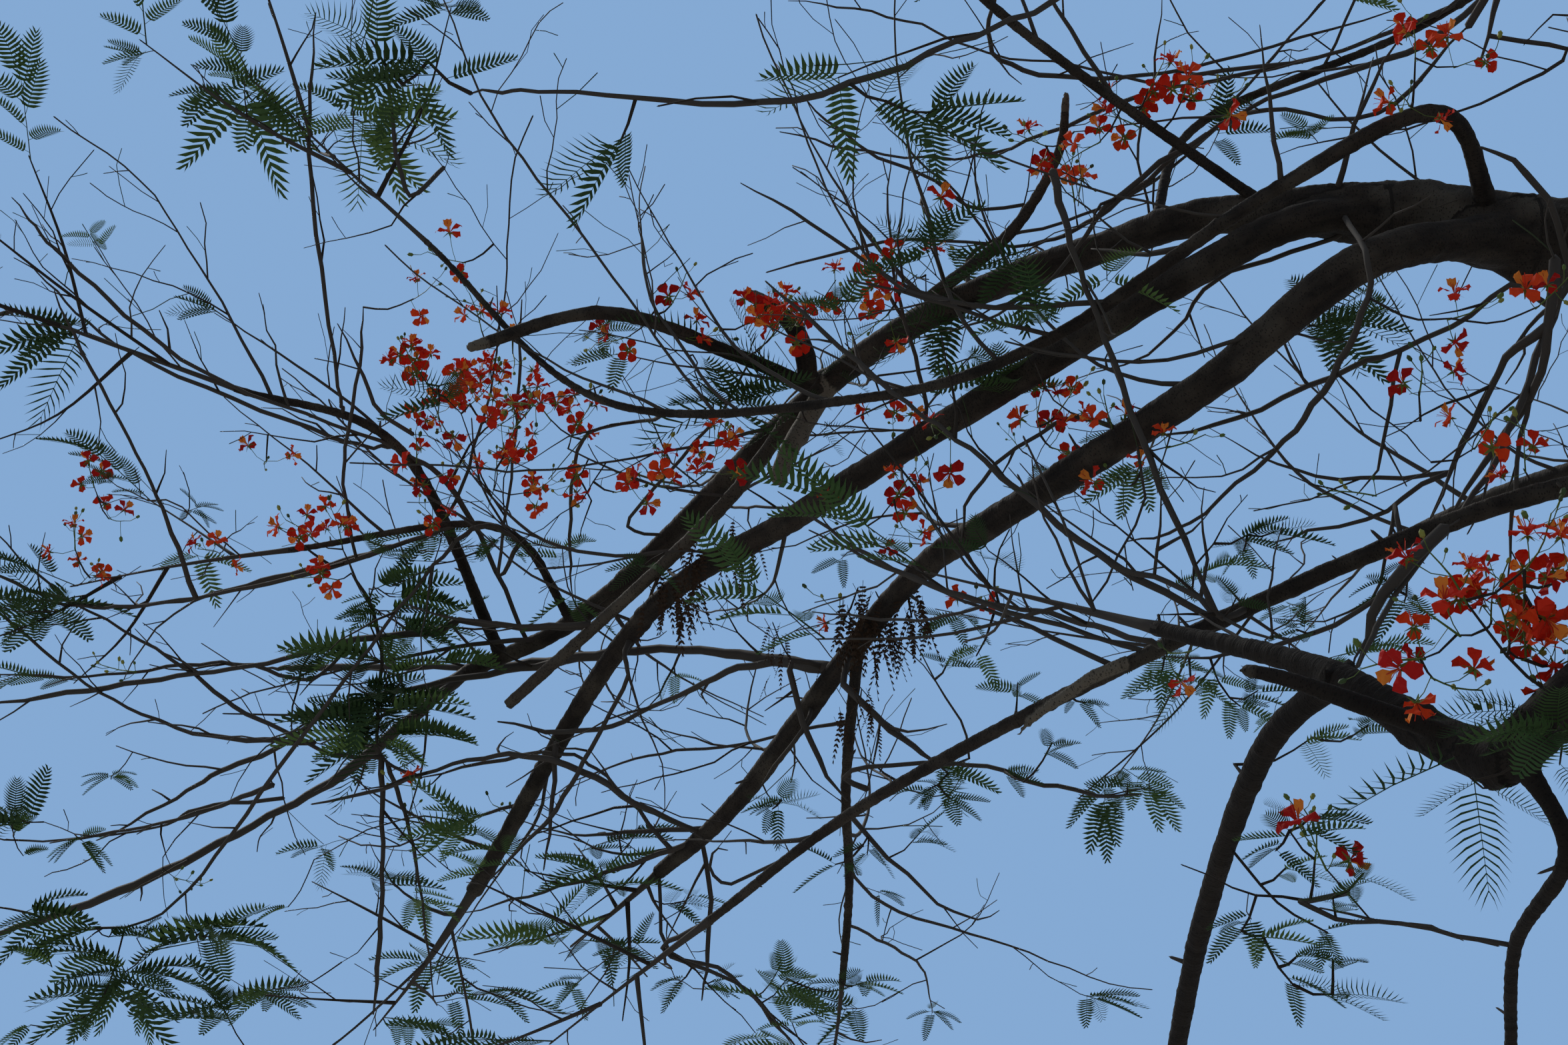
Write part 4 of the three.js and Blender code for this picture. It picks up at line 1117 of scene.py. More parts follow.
# Whips: long thin bare shoots that arch out of the boughs of the near side, hang or climb, and
# cross each other against the sky. Each row has the places of one whip, in centimetres, and its
# radius at the foot and at the tip.
WHIPS = [
    ([(-234, 41, 450), (-266, 53, 473), (-303, 53, 508), (-326, 59, 531), (-366, 79, 583)], 0.012, 0.007),
    ([(-252, 59, 447), (-304, 86, 473), (-333, 99, 493), (-362, 108, 520)], 0.01, 0.006),
    ([(-275, 29, 594), (-270, 36, 568), (-261, 43, 542), (-248, 43, 494), (-232, 43, 447)], 0.013, 0.008),
    ([(-465, 313, 554), (-489, 277, 595), (-514, 263, 613), (-588, 232, 632), (-638, 205, 666),
      (-659, 195, 688)], 0.012, 0.006),
    ([(-514, 263, 614), (-540, 266, 620), (-628, 264, 659), (-672, 257, 697)], 0.01, 0.006),
    ([(-536, 254, 621), (-536, 238, 632), (-542, 182, 693), (-538, 148, 741)], 0.01, 0.006),
    ([(-340, 204, 504), (-405, 260, 526), (-475, 337, 550), (-560, 402, 575),
      (-593, 421, 582)], 0.022, 0.012),
    ([(-339, 209, 493), (-318, 208, 471), (-302, 204, 456)], 0.012, 0.006),
    ([(-396, 291, 459), (-436, 316, 452), (-489, 351, 448)], 0.01, 0.006),
    ([(-403, 294, 464), (-431, 299, 489), (-454, 305, 500), (-508, 337, 501)], 0.01, 0.006),
    ([(-462, 270, 574), (-479, 258, 577), (-501, 262, 556), (-554, 304, 502), (-613, 370, 456),
      (-664, 403, 455)], 0.01, 0.006),
    ([(-556, 322, 487), (-606, 345, 486), (-668, 378, 486)], 0.01, 0.006),
    ([(-527, 342, 515), (-523, 304, 549), (-535, 271, 573)], 0.01, 0.006),
    ([(-529, 345, 509), (-527, 376, 465), (-532, 408, 421)], 0.014, 0.009),
    ([(-523, 344, 511), (-514, 369, 481), (-508, 415, 429)], 0.01, 0.006),
    ([(-488, 273, 581), (-558, 294, 571), (-631, 317, 568), (-678, 334, 579)], 0.01, 0.006),
    ([(-192, -63, 319), (-228, -38, 336)], 0.008, 0.005),
    ([(-127, 21, 541), (-158, 5, 479), (-192, -7, 435), (-210, -26, 405)], 0.012, 0.007),
    ([(-134, 33, 538), (-155, 26, 506), (-170, 30, 474)], 0.009, 0.005),
    ([(-291, 134, 629), (-262, 122, 632), (-234, 108, 638), (-211, 82, 646)], 0.009, 0.005),
    ([(-284, 106, 691), (-232, 100, 679), (-153, 66, 681)], 0.01, 0.006),
    ([(-210, 17, 586), (-217, -14, 617)], 0.008, 0.004),
    ([(-183, 49, 600), (-178, 30, 615), (-165, 10, 636)], 0.011, 0.006),
    ([(-201, 55, 634), (-170, 39, 621), (-146, 10, 635)], 0.011, 0.006),
    ([(-404, 269, 410), (-374, 265, 395), (-357, 264, 374)], 0.009, 0.005),
    ([(-501, 160, 670), (-512, 154, 728)], 0.01, 0.006),
    ([(-160, -250, 570), (-282, -203, 512), (-299, -207, 486), (-321, -215, 468), (-360, -222, 447),
      (-403, -231, 443), (-421, -231, 443)], 0.011, 0.004),
    ([(-126, 28, 668), (-149, 37, 649), (-177, 46, 642), (-205, 54, 635), (-225, 68, 628), (-246, 84, 618),
      (-262, 97, 613), (-280, 108, 614), (-320, 116, 621), (-366, 129, 616)], 0.01, 0.006),
    ([(-219, 62, 631), (-237, 62, 617), (-255, 69, 604), (-264, 79, 594), (-277, 89, 584), (-295, 91, 580),
      (-321, 88, 587), (-336, 92, 601), (-357, 86, 614), (-375, 90, 628)], 0.009, 0.005),
    ([(-133, 54, 683), (-164, 62, 666), (-186, 65, 660), (-221, 75, 661), (-259, 90, 653), (-286, 103, 649),
      (-307, 104, 647), (-335, 111, 655), (-361, 108, 661)], 0.009, 0.004),
    ([(-179, 64, 662), (-207, 75, 661), (-228, 85, 664), (-258, 90, 676), (-288, 97, 686), (-311, 101, 701),
      (-335, 98, 706), (-358, 105, 715)], 0.007, 0.003),
    ([(-283, 109, 624), (-296, 103, 626), (-305, 100, 633), (-331, 86, 638), (-346, 81, 648),
      (-357, 69, 652)], 0.008, 0.003),
    ([(-293, 109, 613), (-300, 101, 630), (-315, 95, 642), (-328, 89, 655)], 0.007, 0.003),
    ([(-312, 129, 569), (-317, 117, 583), (-322, 105, 597), (-325, 86, 614), (-324, 77, 634)], 0.008, 0.004),
    ([(-320, 118, 594), (-328, 112, 606), (-335, 105, 621), (-343, 97, 639)], 0.007, 0.003),
    ([(-230, 99, 611), (-237, 92, 626), (-240, 85, 639), (-235, 77, 657), (-233, 71, 671),
      (-231, 63, 687)], 0.006, 0.003),
    ([(-170, 45, 584), (-189, 56, 583), (-207, 68, 583), (-220, 79, 582), (-228, 93, 575), (-239, 107, 570),
      (-263, 119, 567)], 0.009, 0.004),
    ([(-141, 19, 546), (-155, 32, 540), (-173, 45, 537), (-185, 56, 537), (-204, 69, 533), (-223, 81, 530),
      (-244, 92, 532)], 0.011, 0.006),
    ([(-135, -6, 529), (-140, 1, 513), (-142, 15, 505), (-149, 30, 497), (-159, 47, 484)], 0.018, 0.01),
    ([(-141, -2, 520), (-148, 10, 517), (-151, 24, 511), (-157, 40, 500), (-163, 58, 486)], 0.015, 0.008),
    ([(-261, 98, 542), (-275, 99, 538), (-291, 109, 529), (-299, 118, 521), (-301, 123, 510)], 0.01, 0.006),
    ([(-129, 9, 567), (-138, 4, 578), (-150, 1, 584)], 0.013, 0.009),
    ([(-135, 2, 652), (-137, 7, 642), (-142, 15, 625)], 0.012, 0.009),
    ([(-115, 14, 628), (-126, 26, 624), (-143, 38, 622), (-159, 45, 620), (-178, 50, 620),
      (-200, 53, 615)], 0.007, 0.003),
    ([(-202, 60, 551), (-191, 61, 551), (-181, 52, 545)], 0.006, 0.003),
    ([(-109, 2, 628), (-119, 9, 638), (-129, 13, 629)], 0.007, 0.003),
    ([(-490, 338, 547), (-521, 357, 530), (-549, 375, 514), (-581, 392, 502), (-628, 421, 488),
      (-669, 437, 476), (-706, 447, 467), (-730, 454, 461)], 0.024, 0.013),
    ([(-602, 307, 567), (-607, 286, 587), (-613, 269, 601), (-623, 250, 619), (-635, 229, 639),
      (-646, 219, 660)], 0.011, 0.006),
    ([(-519, 280, 577), (-542, 292, 576), (-571, 303, 574), (-604, 316, 571), (-640, 326, 572),
      (-672, 333, 581), (-703, 337, 596)], 0.012, 0.007),
    ([(-555, 340, 520), (-573, 340, 518), (-603, 349, 524), (-630, 345, 533), (-655, 349, 548),
      (-678, 341, 565), (-696, 334, 579)], 0.011, 0.006),
    ([(-439, 276, 539), (-463, 284, 545), (-490, 292, 551), (-501, 303, 551), (-535, 314, 552),
      (-573, 327, 547), (-612, 339, 546), (-652, 350, 544), (-700, 363, 542)], 0.016, 0.009),
    ([(-535, 318, 542), (-555, 330, 541), (-582, 337, 550), (-609, 346, 554), (-654, 357, 553),
      (-703, 366, 558)], 0.01, 0.006),
    ([(-531, 344, 511), (-546, 343, 513), (-564, 339, 521), (-588, 344, 534), (-606, 338, 547),
      (-633, 341, 565), (-668, 342, 586), (-699, 340, 614)], 0.011, 0.006),
    ([(-436, 308, 541), (-462, 318, 542), (-500, 330, 540), (-545, 344, 534), (-573, 361, 522),
      (-598, 374, 517), (-619, 388, 510), (-656, 406, 496)], 0.014, 0.008),
    ([(-579, 379, 507), (-610, 391, 506), (-631, 403, 501), (-682, 415, 499),
      (-709, 415, 501)], 0.008, 0.004),
    ([(-533, 280, 576), (-535, 265, 597), (-533, 252, 612), (-526, 230, 636),
      (-525, 221, 655)], 0.009, 0.005),
    ([(-362, 214, 506), (-379, 226, 504), (-394, 238, 501), (-413, 260, 501), (-426, 272, 499),
      (-450, 292, 504), (-474, 309, 515)], 0.013, 0.008),
    ([(-420, 243, 515), (-419, 246, 508), (-432, 265, 490), (-441, 281, 480), (-452, 297, 469),
      (-476, 316, 451)], 0.012, 0.007),
    ([(-454, 286, 493), (-450, 295, 474), (-453, 305, 452)], 0.013, 0.009),
    ([(-397, 281, 456), (-415, 275, 468), (-434, 280, 482), (-457, 287, 492), (-477, 296, 495),
      (-501, 308, 493), (-522, 321, 490), (-551, 333, 488)], 0.013, 0.008),
    ([(-354, 207, 472), (-367, 224, 461), (-364, 228, 453)], 0.008, 0.005),
    ([(-420, 239, 569), (-401, 212, 581), (-380, 184, 594), (-370, 165, 611)], 0.008, 0.004),
    ([(-405, 169, 579), (-432, 198, 588), (-440, 222, 582), (-443, 252, 566), (-443, 270, 551)], 0.01, 0.005),
    ([(-473, 275, 564), (-467, 250, 594), (-463, 227, 620), (-461, 203, 648)], 0.009, 0.005),
    ([(-512, 253, 611), (-520, 243, 621), (-526, 232, 633), (-535, 224, 649)], 0.009, 0.005),
    ([(-236, 24, 440), (-242, 30, 450), (-251, 38, 458), (-263, 45, 466), (-272, 51, 477), (-281, 56, 488),
      (-288, 61, 503)], 0.012, 0.007),
    ([(-254, 45, 441), (-267, 62, 453), (-281, 79, 465), (-296, 96, 475), (-312, 112, 488), (-328, 127, 502),
      (-351, 140, 521)], 0.01, 0.006),
    ([(-296, 96, 475), (-312, 116, 478), (-328, 135, 486), (-350, 152, 496)], 0.007, 0.004),
    ([(-288, 87, 471), (-299, 92, 483), (-306, 97, 495), (-314, 102, 510), (-317, 98, 518)], 0.006, 0.003),
    ([(-236, 24, 440), (-240, 21, 446), (-244, 17, 456), (-250, 11, 467), (-253, 8, 475)], 0.009, 0.004),
    ([(-239, 34, 442), (-238, 27, 457), (-239, 22, 468), (-239, 17, 478)], 0.006, 0.003),
    ([(-251, 37, 458), (-250, 33, 468), (-250, 29, 476), (-249, 24, 486)], 0.006, 0.003),
    ([(-249, 64, 495), (-259, 73, 476), (-264, 77, 468), (-267, 81, 460)], 0.006, 0.003),
    ([(-225, 8, 427), (-226, 3, 437), (-224, -2, 447), (-222, -6, 456)], 0.006, 0.003),
    ([(-250, 43, 470), (-239, 41, 475), (-233, 38, 480)], 0.007, 0.003),
    ([(-181, -17, 456), (-192, -9, 439), (-198, -5, 431), (-201, -1, 422), (-204, 3, 414)], 0.018, 0.009),
    ([(-197, -6, 433), (-210, 7, 429), (-222, 18, 429), (-235, 29, 430), (-250, 38, 433)], 0.008, 0.004),
    ([(-186, 10, 469), (-188, 17, 456), (-193, 22, 444), (-206, 24, 439), (-221, 24, 439)], 0.007, 0.003),
    ([(-358, 197, 495), (-353, 206, 476), (-346, 213, 461), (-338, 208, 447)], 0.012, 0.007),
    ([(-339, 195, 452), (-327, 184, 452), (-306, 174, 449), (-292, 165, 445), (-278, 158, 437),
      (-266, 159, 435), (-253, 150, 429), (-243, 150, 430)], 0.011, 0.005),
    ([(-339, 181, 481), (-328, 177, 467), (-319, 180, 460), (-312, 173, 452),
      (-304, 176, 446)], 0.012, 0.008),
    ([(-336, 202, 436), (-324, 197, 423), (-312, 202, 413), (-302, 205, 406), (-293, 206, 404),
      (-286, 205, 406)], 0.009, 0.004),
    ([(-405, 308, 421), (-388, 311, 416), (-374, 315, 407), (-364, 320, 396), (-354, 325, 386)], 0.01, 0.006),
    ([(-393, 310, 465), (-389, 318, 448), (-390, 329, 424), (-392, 336, 409)], 0.011, 0.007),
    ([(-357, 264, 445), (-371, 277, 442), (-382, 278, 438), (-387, 277, 442), (-387, 273, 449),
      (-381, 273, 450)], 0.008, 0.005),
    ([(-300, 145, 440), (-301, 140, 450), (-305, 138, 456), (-311, 134, 465),
      (-319, 136, 483)], 0.006, 0.003),
    ([(-241, -77, 326), (-228, -75, 322), (-218, -85, 319), (-209, -93, 313)], 0.007, 0.003),
    ([(-181, 40, 584), (-188, 5, 551), (-188, 3, 536), (-193, 7, 523), (-199, 12, 512), (-206, 19, 503),
      (-213, 26, 496), (-225, 35, 488), (-236, 48, 482), (-244, 59, 482), (-255, 65, 482)], 0.012, 0.005),
    ([(-171, 45, 536), (-174, 46, 522), (-177, 47, 508), (-180, 51, 499), (-185, 55, 493)], 0.009, 0.004),
    ([(-160, 42, 495), (-170, 52, 498), (-181, 57, 500), (-192, 61, 502), (-204, 60, 505), (-214, 62, 511),
      (-228, 63, 521)], 0.007, 0.003),
    ([(-162, 44, 496), (-172, 45, 490), (-178, 47, 484), (-189, 49, 481), (-201, 54, 481), (-208, 60, 480),
      (-217, 60, 481)], 0.008, 0.003),
    ([(-142, 15, 505), (-144, 20, 496), (-146, 27, 481), (-147, 32, 470), (-148, 39, 456)], 0.01, 0.005),
]


def in_metres(places):
    """Places that are given in centimetres, in metres."""
    return np.array(places) / 100


for places, thick, thin in WHIPS:
    west.whip(in_metres(places), thick, thin)


# Leaves. Feathery leaves of thin stalks with 9 to 14 pairs of narrow leaflet rows, soft and matt,
# in drooping fans at the ends of young twigs. They keep the places of the sprays of the solids,
# and a few brown dried leaves hang where they withered.
LEAF_TONES = [("leaf_deep", (0.041, 0.076, 0.031)), ("leaf_mid", (0.065, 0.118, 0.042)),
              ("leaf_fresh", (0.106, 0.182, 0.056)), ("leaf_dry", (0.055, 0.034, 0.022))]
DRY = 3
LEAFY_SHARE = 0.20  # of the ends of twigs that carry leaves
FAN = random.Random(8)


def template_arrays(shape):
    """The vertices, triangles and quads of a small bmesh shape, and the part of each face."""
    shape.verts.index_update()
    places = np.array([v.co[:] for v in shape.verts])
    corners = [([v.index for v in f.verts], f.material_index) for f in shape.faces]
    tris = np.array([c for c, _ in corners if len(c) == 3]).reshape(-1, 3)
    quads = np.array([c for c, _ in corners if len(c) == 4]).reshape(-1, 4)
    parts = [p for c, p in corners if len(c) == 3] + [p for c, p in corners if len(c) == 4]
    shape.free()
    return places, tris, quads, np.array(parts)


def leaf_shape(pairs, stalk, longest, width):
    """One leaf, 1 long: a thin stalk, and rows of leaflets that lean forward more to its tip."""
    leaf = bmesh.new()
    for k in range(pairs):
        share = k / (pairs - 1)
        at = stalk + (0.985 - stalk) * share
        reach = longest * (1 - 1.3 * (share - 0.42) ** 2 - 0.12 * share)
        lean = math.radians(82 - 46 * share * share)
        for hand in (-1, 1):
            row = bmesh.ops.create_grid(leaf, x_segments=2, y_segments=1, size=1)["verts"]
            for vert in row:
                out = (vert.co.x + 1) / 2
                half = width * (0.7, 1, 0)[round(out * 2)] * vert.co.y
                along = reach * (out * math.cos(lean) + 0.16 * out * out) + half
                across = reach * (out * math.sin(lean) - 0.05 * out * out)
                vert.co = (at + along, hand * across, reach * (0.12 * out - 0.50 * out * out))
            bmesh.ops.remove_doubles(leaf, verts=row, dist=1e-6)
    for vert, column, step in sheet_verts(leaf, 3, 2):
        turn = 2 * math.pi * column / 3
        thick = 0.0062 - 0.0019 * step
        vert.co = (step / 2, thick * math.cos(turn), thick * math.sin(turn))
    bmesh.ops.remove_doubles(leaf, verts=[v for v in leaf.verts if abs(v.co.y) < 0.007], dist=1e-6)
    return template_arrays(leaf)


LEAF_SHAPES = [leaf_shape(14, 0.14, 0.23, 0.0260), leaf_shape(12, 0.17, 0.27, 0.0285),
               leaf_shape(13, 0.13, 0.36, 0.0110), leaf_shape(9, 0.18, 0.10, 0.0300)]
OPEN_SHAPE, WITHERED_SHAPE = 2, 3  # the leaf whose thin rows stand apart, and the dried one
LEAF_OVERHANG = 0.05  # how far past the box of the solids a leaf may reach


def copies(shape, roots, ways, sides, sizes, droops=None):
    """Copies of a shape, each at its root, turned, sized and drooping towards its tip."""
    places = shape[0]
    ways = ways / np.linalg.norm(ways, axis=1)[:, None]
    sides = sides - ways * (sides * ways).sum(1)[:, None]
    sides /= np.linalg.norm(sides, axis=1)[:, None]
    tops = np.cross(ways, sides)
    turned = (places[:, 0, None] * ways[:, None] + places[:, 1, None] * sides[:, None]
              + places[:, 2, None] * tops[:, None])
    if droops is not None:
        turned = turned - droops[:, None, None] * np.square(places[:, :1]) * UP
    return roots[:, None] + sizes[:, None, None] * turned


def joined_copies(batches):
    """Vertices, faces and tones of several batches of copies, joined. In a batch, the first part
    of the shape takes the tone of its copy, and the other parts have tones of their own."""
    places, tris, quads, tri_tones, quad_tones, count = [], [], [], [], [], 0
    for shape, made, tones, first_part in batches:
        starts = count + np.arange(len(made))[:, None, None] * made.shape[1]
        parts = np.where(shape[3] == 0, 0, shape[3] + first_part - 1)
        own = np.where(parts[None] == 0, tones[:, None], parts[None])
        tris.append((starts + shape[1]).reshape(-1, 3))
        quads.append((starts + shape[2]).reshape(-1, 4))
        tri_tones.append(own[:, :len(shape[1])].ravel())
        quad_tones.append(own[:, len(shape[1]):].ravel())
        places.append(made.reshape(-1, 3))
        count += made.shape[0] * made.shape[1]
    faces = np.concatenate(tris).astype(int).tolist() + np.concatenate(quads).astype(int).tolist()
    return np.concatenate(places), faces, np.concatenate(tri_tones + quad_tones)


class Foliage:
    """The leaves of one side of the crown: root, way, side, size, droop, tone and shape of each."""

    def __init__(self):
        self.leaves = []

    def leaf(self, root, way, size, droop, tone, kind, side=None):
        if side is None:
            side = np.cross(way, UP) + 0.22 * np.array([FAN.gauss(0, 1) for _ in range(3)])
        self.leaves.append((root, way, side, size, droop, tone, kind))

    def fan(self, place, way, count, size, tone=None):
        """A drooping fan of leaves round the end of a twig."""
        own = FAN.choices((0, 1, 2), (5, 5, 2))[0] if tone is None else tone
        side = unit(np.cross(way, UP) + 0.02 * way)
        over = np.cross(side, way)
        first = FAN.uniform(0, 6.28)
        for k in range(count):
            turn = first + k * GOLDEN_TURN
            opening = FAN.uniform(0.45, 1.35)
            away = side * math.cos(turn) + over * math.sin(turn)
            direction = (way * math.cos(opening) + away * math.sin(opening)) * (1, 1, 0.3)
            direction = unit(direction - 0.05 * UP)
            if own == DRY:
                direction = unit(0.45 * direction - UP)
            root = place - way * 0.012 * k
            if own == DRY:
                root = root + 0.035 * np.array([FAN.gauss(0, 1) for _ in range(3)])
            droop = FAN.uniform(0.05, 0.3)
            kind = WITHERED_SHAPE if own == DRY else FAN.choices((0, 1, OPEN_SHAPE), (3, 3, 1))[0]
            self.leaf(root, direction, size * FAN.uniform(0.75, 1.1), droop, own, kind)

    def spray(self, growth, root, direction, length):
        """The thin twig and the leaves of one spray of the solids, within its outline."""
        across = unit(np.cross(direction, UP))
        stalk = root + np.outer(np.linspace(0, 0.55, 4) * length, direction)
        stalk[1:] -= np.outer((0.002, 0.007, 0.015), UP)
        growth.runs.append((stalk, np.linspace(0.0030, 0.0014, 4), GREEN, 3))
        tone = FAN.choices((0, 1, 2), (5, 5, 2))[0]
        for k, (turn, share) in enumerate(((0.75, 0.30), (-0.85, 0.32), (0.62, 0.36), (-0.60, 0.38),
                                           (0.42, 0.40), (-0.38, 0.42), (0.05, 0.46))):
            turn += FAN.gauss(0, 0.14)
            way = unit(direction * math.cos(turn) + across * math.sin(turn) + UP * FAN.gauss(-0.1, 0.2))
            start = stalk[0] + (stalk[-1] - stalk[0]) * (0.1 + 0.15 * k)
            self.leaf(start, way, length * share, FAN.uniform(0.05, 0.3), tone, FAN.randrange(2))

    def piece(self, name, finishes, low=-math.inf, high=math.inf):
        """The joined piece of the leaves that root between these places along X, within the crown."""
        batches = []
        for kind, shape in enumerate(LEAF_SHAPES):
            rows = [leaf for leaf in self.leaves if leaf[6] == kind and low <= leaf[0][0] < high]
            if not rows:
                continue
            roots, ways, sides = (np.array([row[k] for row in rows]) for k in range(3))
            sizes, droops, tones = (np.array([row[k] for row in rows]) for k in (3, 4, 5))
            made = copies(shape, roots, ways, sides, sizes, droops)
            inside = ((made > BOX_LOW - LEAF_OVERHANG) & (made < BOX_HIGH + LEAF_OVERHANG)).all((1, 2))
            batches.append((shape, made[inside], tones[inside], 0))
        joined_piece(name, *joined_copies(batches), finishes, False)


# Blossom. Loose heads of large red flowers, each with four spreading spoon-shaped petals, a ruffled
# upright one flushed with yellow, a green calyx and a few long stamens, on green stalks; and the
# oval green buds above them. The stalks stand on short green stems at the ends of twigs.
PETAL_TONES = [("petal_red", (0.70, 0.030, 0.012)), ("petal_scarlet", (0.80, 0.062, 0.014)),
               ("petal_crimson", (0.52, 0.016, 0.014)), ("petal_gold", (0.84, 0.25, 0.038)),
               ("calyx_green", (0.16, 0.20, 0.045)), ("stamen_red", (0.58, 0.060, 0.030))]
BUD_TONES = [("bud_green", (0.105, 0.165, 0.035)), ("bud_yellow", (0.26, 0.27, 0.055)),
             ("bud_dark", (0.045, 0.080, 0.025))]
STANDARD, CALYX, STAMEN = 1, 2, 3
FLOWERY_SHARE = 0.030  # of the ends of twigs that carry a head of flowers
BUDDY_SHARE = 0.03  # and of those that carry only buds
HEAD = random.Random(12)


def petal(flower, turn, part, rise, length, broad, ruffle):
    """One petal: a narrow claw that widens to a round, lightly ruffled blade."""
    sheet = bmesh.ops.create_grid(flower, x_segments=2, y_segments=4, size=1)["verts"]
    for vert in sheet:
        out = (vert.co.y + 1) / 2
        half = (0.10, 0.32, 0.94, 1, 0.52)[round(out * 4)] * broad * vert.co.x
        level = 0.003 + length * out * math.cos(rise)
        height = 0.005 + length * out * math.sin(rise) + 0.008 * math.sin(math.pi * out)
        wave = ruffle * abs(vert.co.x) * (1 if round(out * 4) % 2 else -1) * (out > 0.4)
        vert.co = (level * math.cos(turn) - half * math.sin(turn),
                   level * math.sin(turn) + half * math.cos(turn), height + wave)
    for face in {face for vert in sheet for face in vert.link_faces}:
        face.material_index = part


def flower_shape():
    """One flower on the top of its stalk, life-size, facing up."""
    flower = bmesh.new()
    for k in range(4):
        petal(flower, 0.75 + 1.28 * k, 0, (0.30, -0.15, 0.45, 0.05)[k], 0.041, 0.0165, 0.003)
    petal(flower, -0.55, STANDARD, 1.05, 0.042, 0.013, 0.004)
    for k in range(5):
        sepal = bmesh.ops.create_grid(flower, x_segments=1, y_segments=1, size=1)["verts"]
        turn = 1.257 * k + 0.1
        for vert in sepal:
            out = (vert.co.y + 1) / 2
            half = (0.0045 if out < 0.5 else 0.0008) * vert.co.x
            level = 0.002 + 0.021 * out
            vert.co = (level * math.cos(turn) - half * math.sin(turn),
                       level * math.sin(turn) + half * math.cos(turn), 0.004 - 0.011 * out)
        for face in {face for vert in sepal for face in vert.link_faces}:
            face.material_index = CALYX
    for k in range(6):
        thread = bmesh.ops.create_grid(flower, x_segments=1, y_segments=2, size=1)["verts"]
        turn = 1.05 * k + 0.4
        for vert in thread:
            out = (vert.co.y + 1) / 2
            half = 0.0010 * vert.co.x
            level = 0.002 + 0.016 * out * out
            vert.co = (level * math.cos(turn) - half * math.sin(turn),
                       level * math.sin(turn) + half * math.cos(turn), 0.004 + 0.032 * out)
        for face in {face for vert in thread for face in vert.link_faces}:
            face.material_index = STAMEN
    return template_arrays(flower)


def bud_shape():
    """One closed bud, life-size, standing on its stalk."""
    bud = bmesh.new()
    for vert in bmesh.ops.create_icosphere(bud, subdivisions=1, radius=1)["verts"]:
        vert.co = (0.0082 * vert.co.x, 0.0082 * vert.co.y, 0.011 + 0.0135 * vert.co.z)
    return template_arrays(bud)


class Blossom:
    """All the heads of flowers and buds: their stalks, their flowers and their buds."""

    def __init__(self):
        self.stalks = []
        self.flowers = []
        self.buds = []

    def head(self, place, way, flowers, buds, size=1.0):
        """A loose head: a short stem with its flowers below and its buds above."""
        way = unit(way + 0.35 * UP)
        stem = wander(place - way * 0.01, way, (0.10 + 0.008 * (flowers + buds)) * size, 0.8, 1.2)
        stem = spaced(stem, 0.035)
        self.stalks.append((stem, np.linspace(0.0026, 0.0016, len(stem)), 0, 4))
        side = unit(np.cross(way, UP) + 0.05 * way)
        over = np.cross(side, way)
        turn = HEAD.uniform(0, 6.28)
        for k in range(flowers + buds):
            share = (k + 0.5) / (flowers + buds)
            low = min(len(stem) - 1, int(share * len(stem)))
            turn += GOLDEN_TURN
            opening = 1.35 - 0.8 * share + HEAD.gauss(0, 0.28)
            away = side * math.cos(turn) + over * math.sin(turn)
            out = unit(way * math.cos(opening) + away * math.sin(opening) + 0.2 * UP)
            length = (0.078 if k < flowers else 0.05) * HEAD.uniform(0.6, 1.4) * size
            end = stem[low] + out * length
            middle = (stem[low] + end) / 2 - 0.12 * length * UP
            self.stalks.append((np.array([stem[low], middle, end]), np.array([0.0014, 0.0013, 0.0017]), 0, 3))
            facing = unit(out + 0.35 * UP + 0.25 * np.array([HEAD.gauss(0, 1) for _ in range(3)]))
            if k < flowers:
                tone = HEAD.choices((0, 1, 2), (5, 3, 2))[0]
                self.flowers.append((end, facing, HEAD.uniform(0.95, 1.30), tone))
            else:
                self.buds.append((end, unit(out + 0.3 * UP), HEAD.uniform(0.65, 1.05), HEAD.randrange(3)))

    def stand(self, rows, shape, first_part, finishes, name):
        """The joined piece of all the flowers, or of all the buds."""
        ends, facing = (np.array([row[k] for row in rows]) for k in (0, 1))
        sizes, own = (np.array([row[k] for row in rows]) for k in (2, 3))
        turn = np.random.default_rng(4).normal(size=(len(rows), 3))
        across = np.cross(facing, turn)
        across /= np.linalg.norm(across, axis=1)[:, None]
        ways = np.cross(across, facing)
        made = copies(shape, ends, ways, across, sizes)
        joined_piece(name, *joined_copies([(shape, made, own, first_part)]), finishes, False)


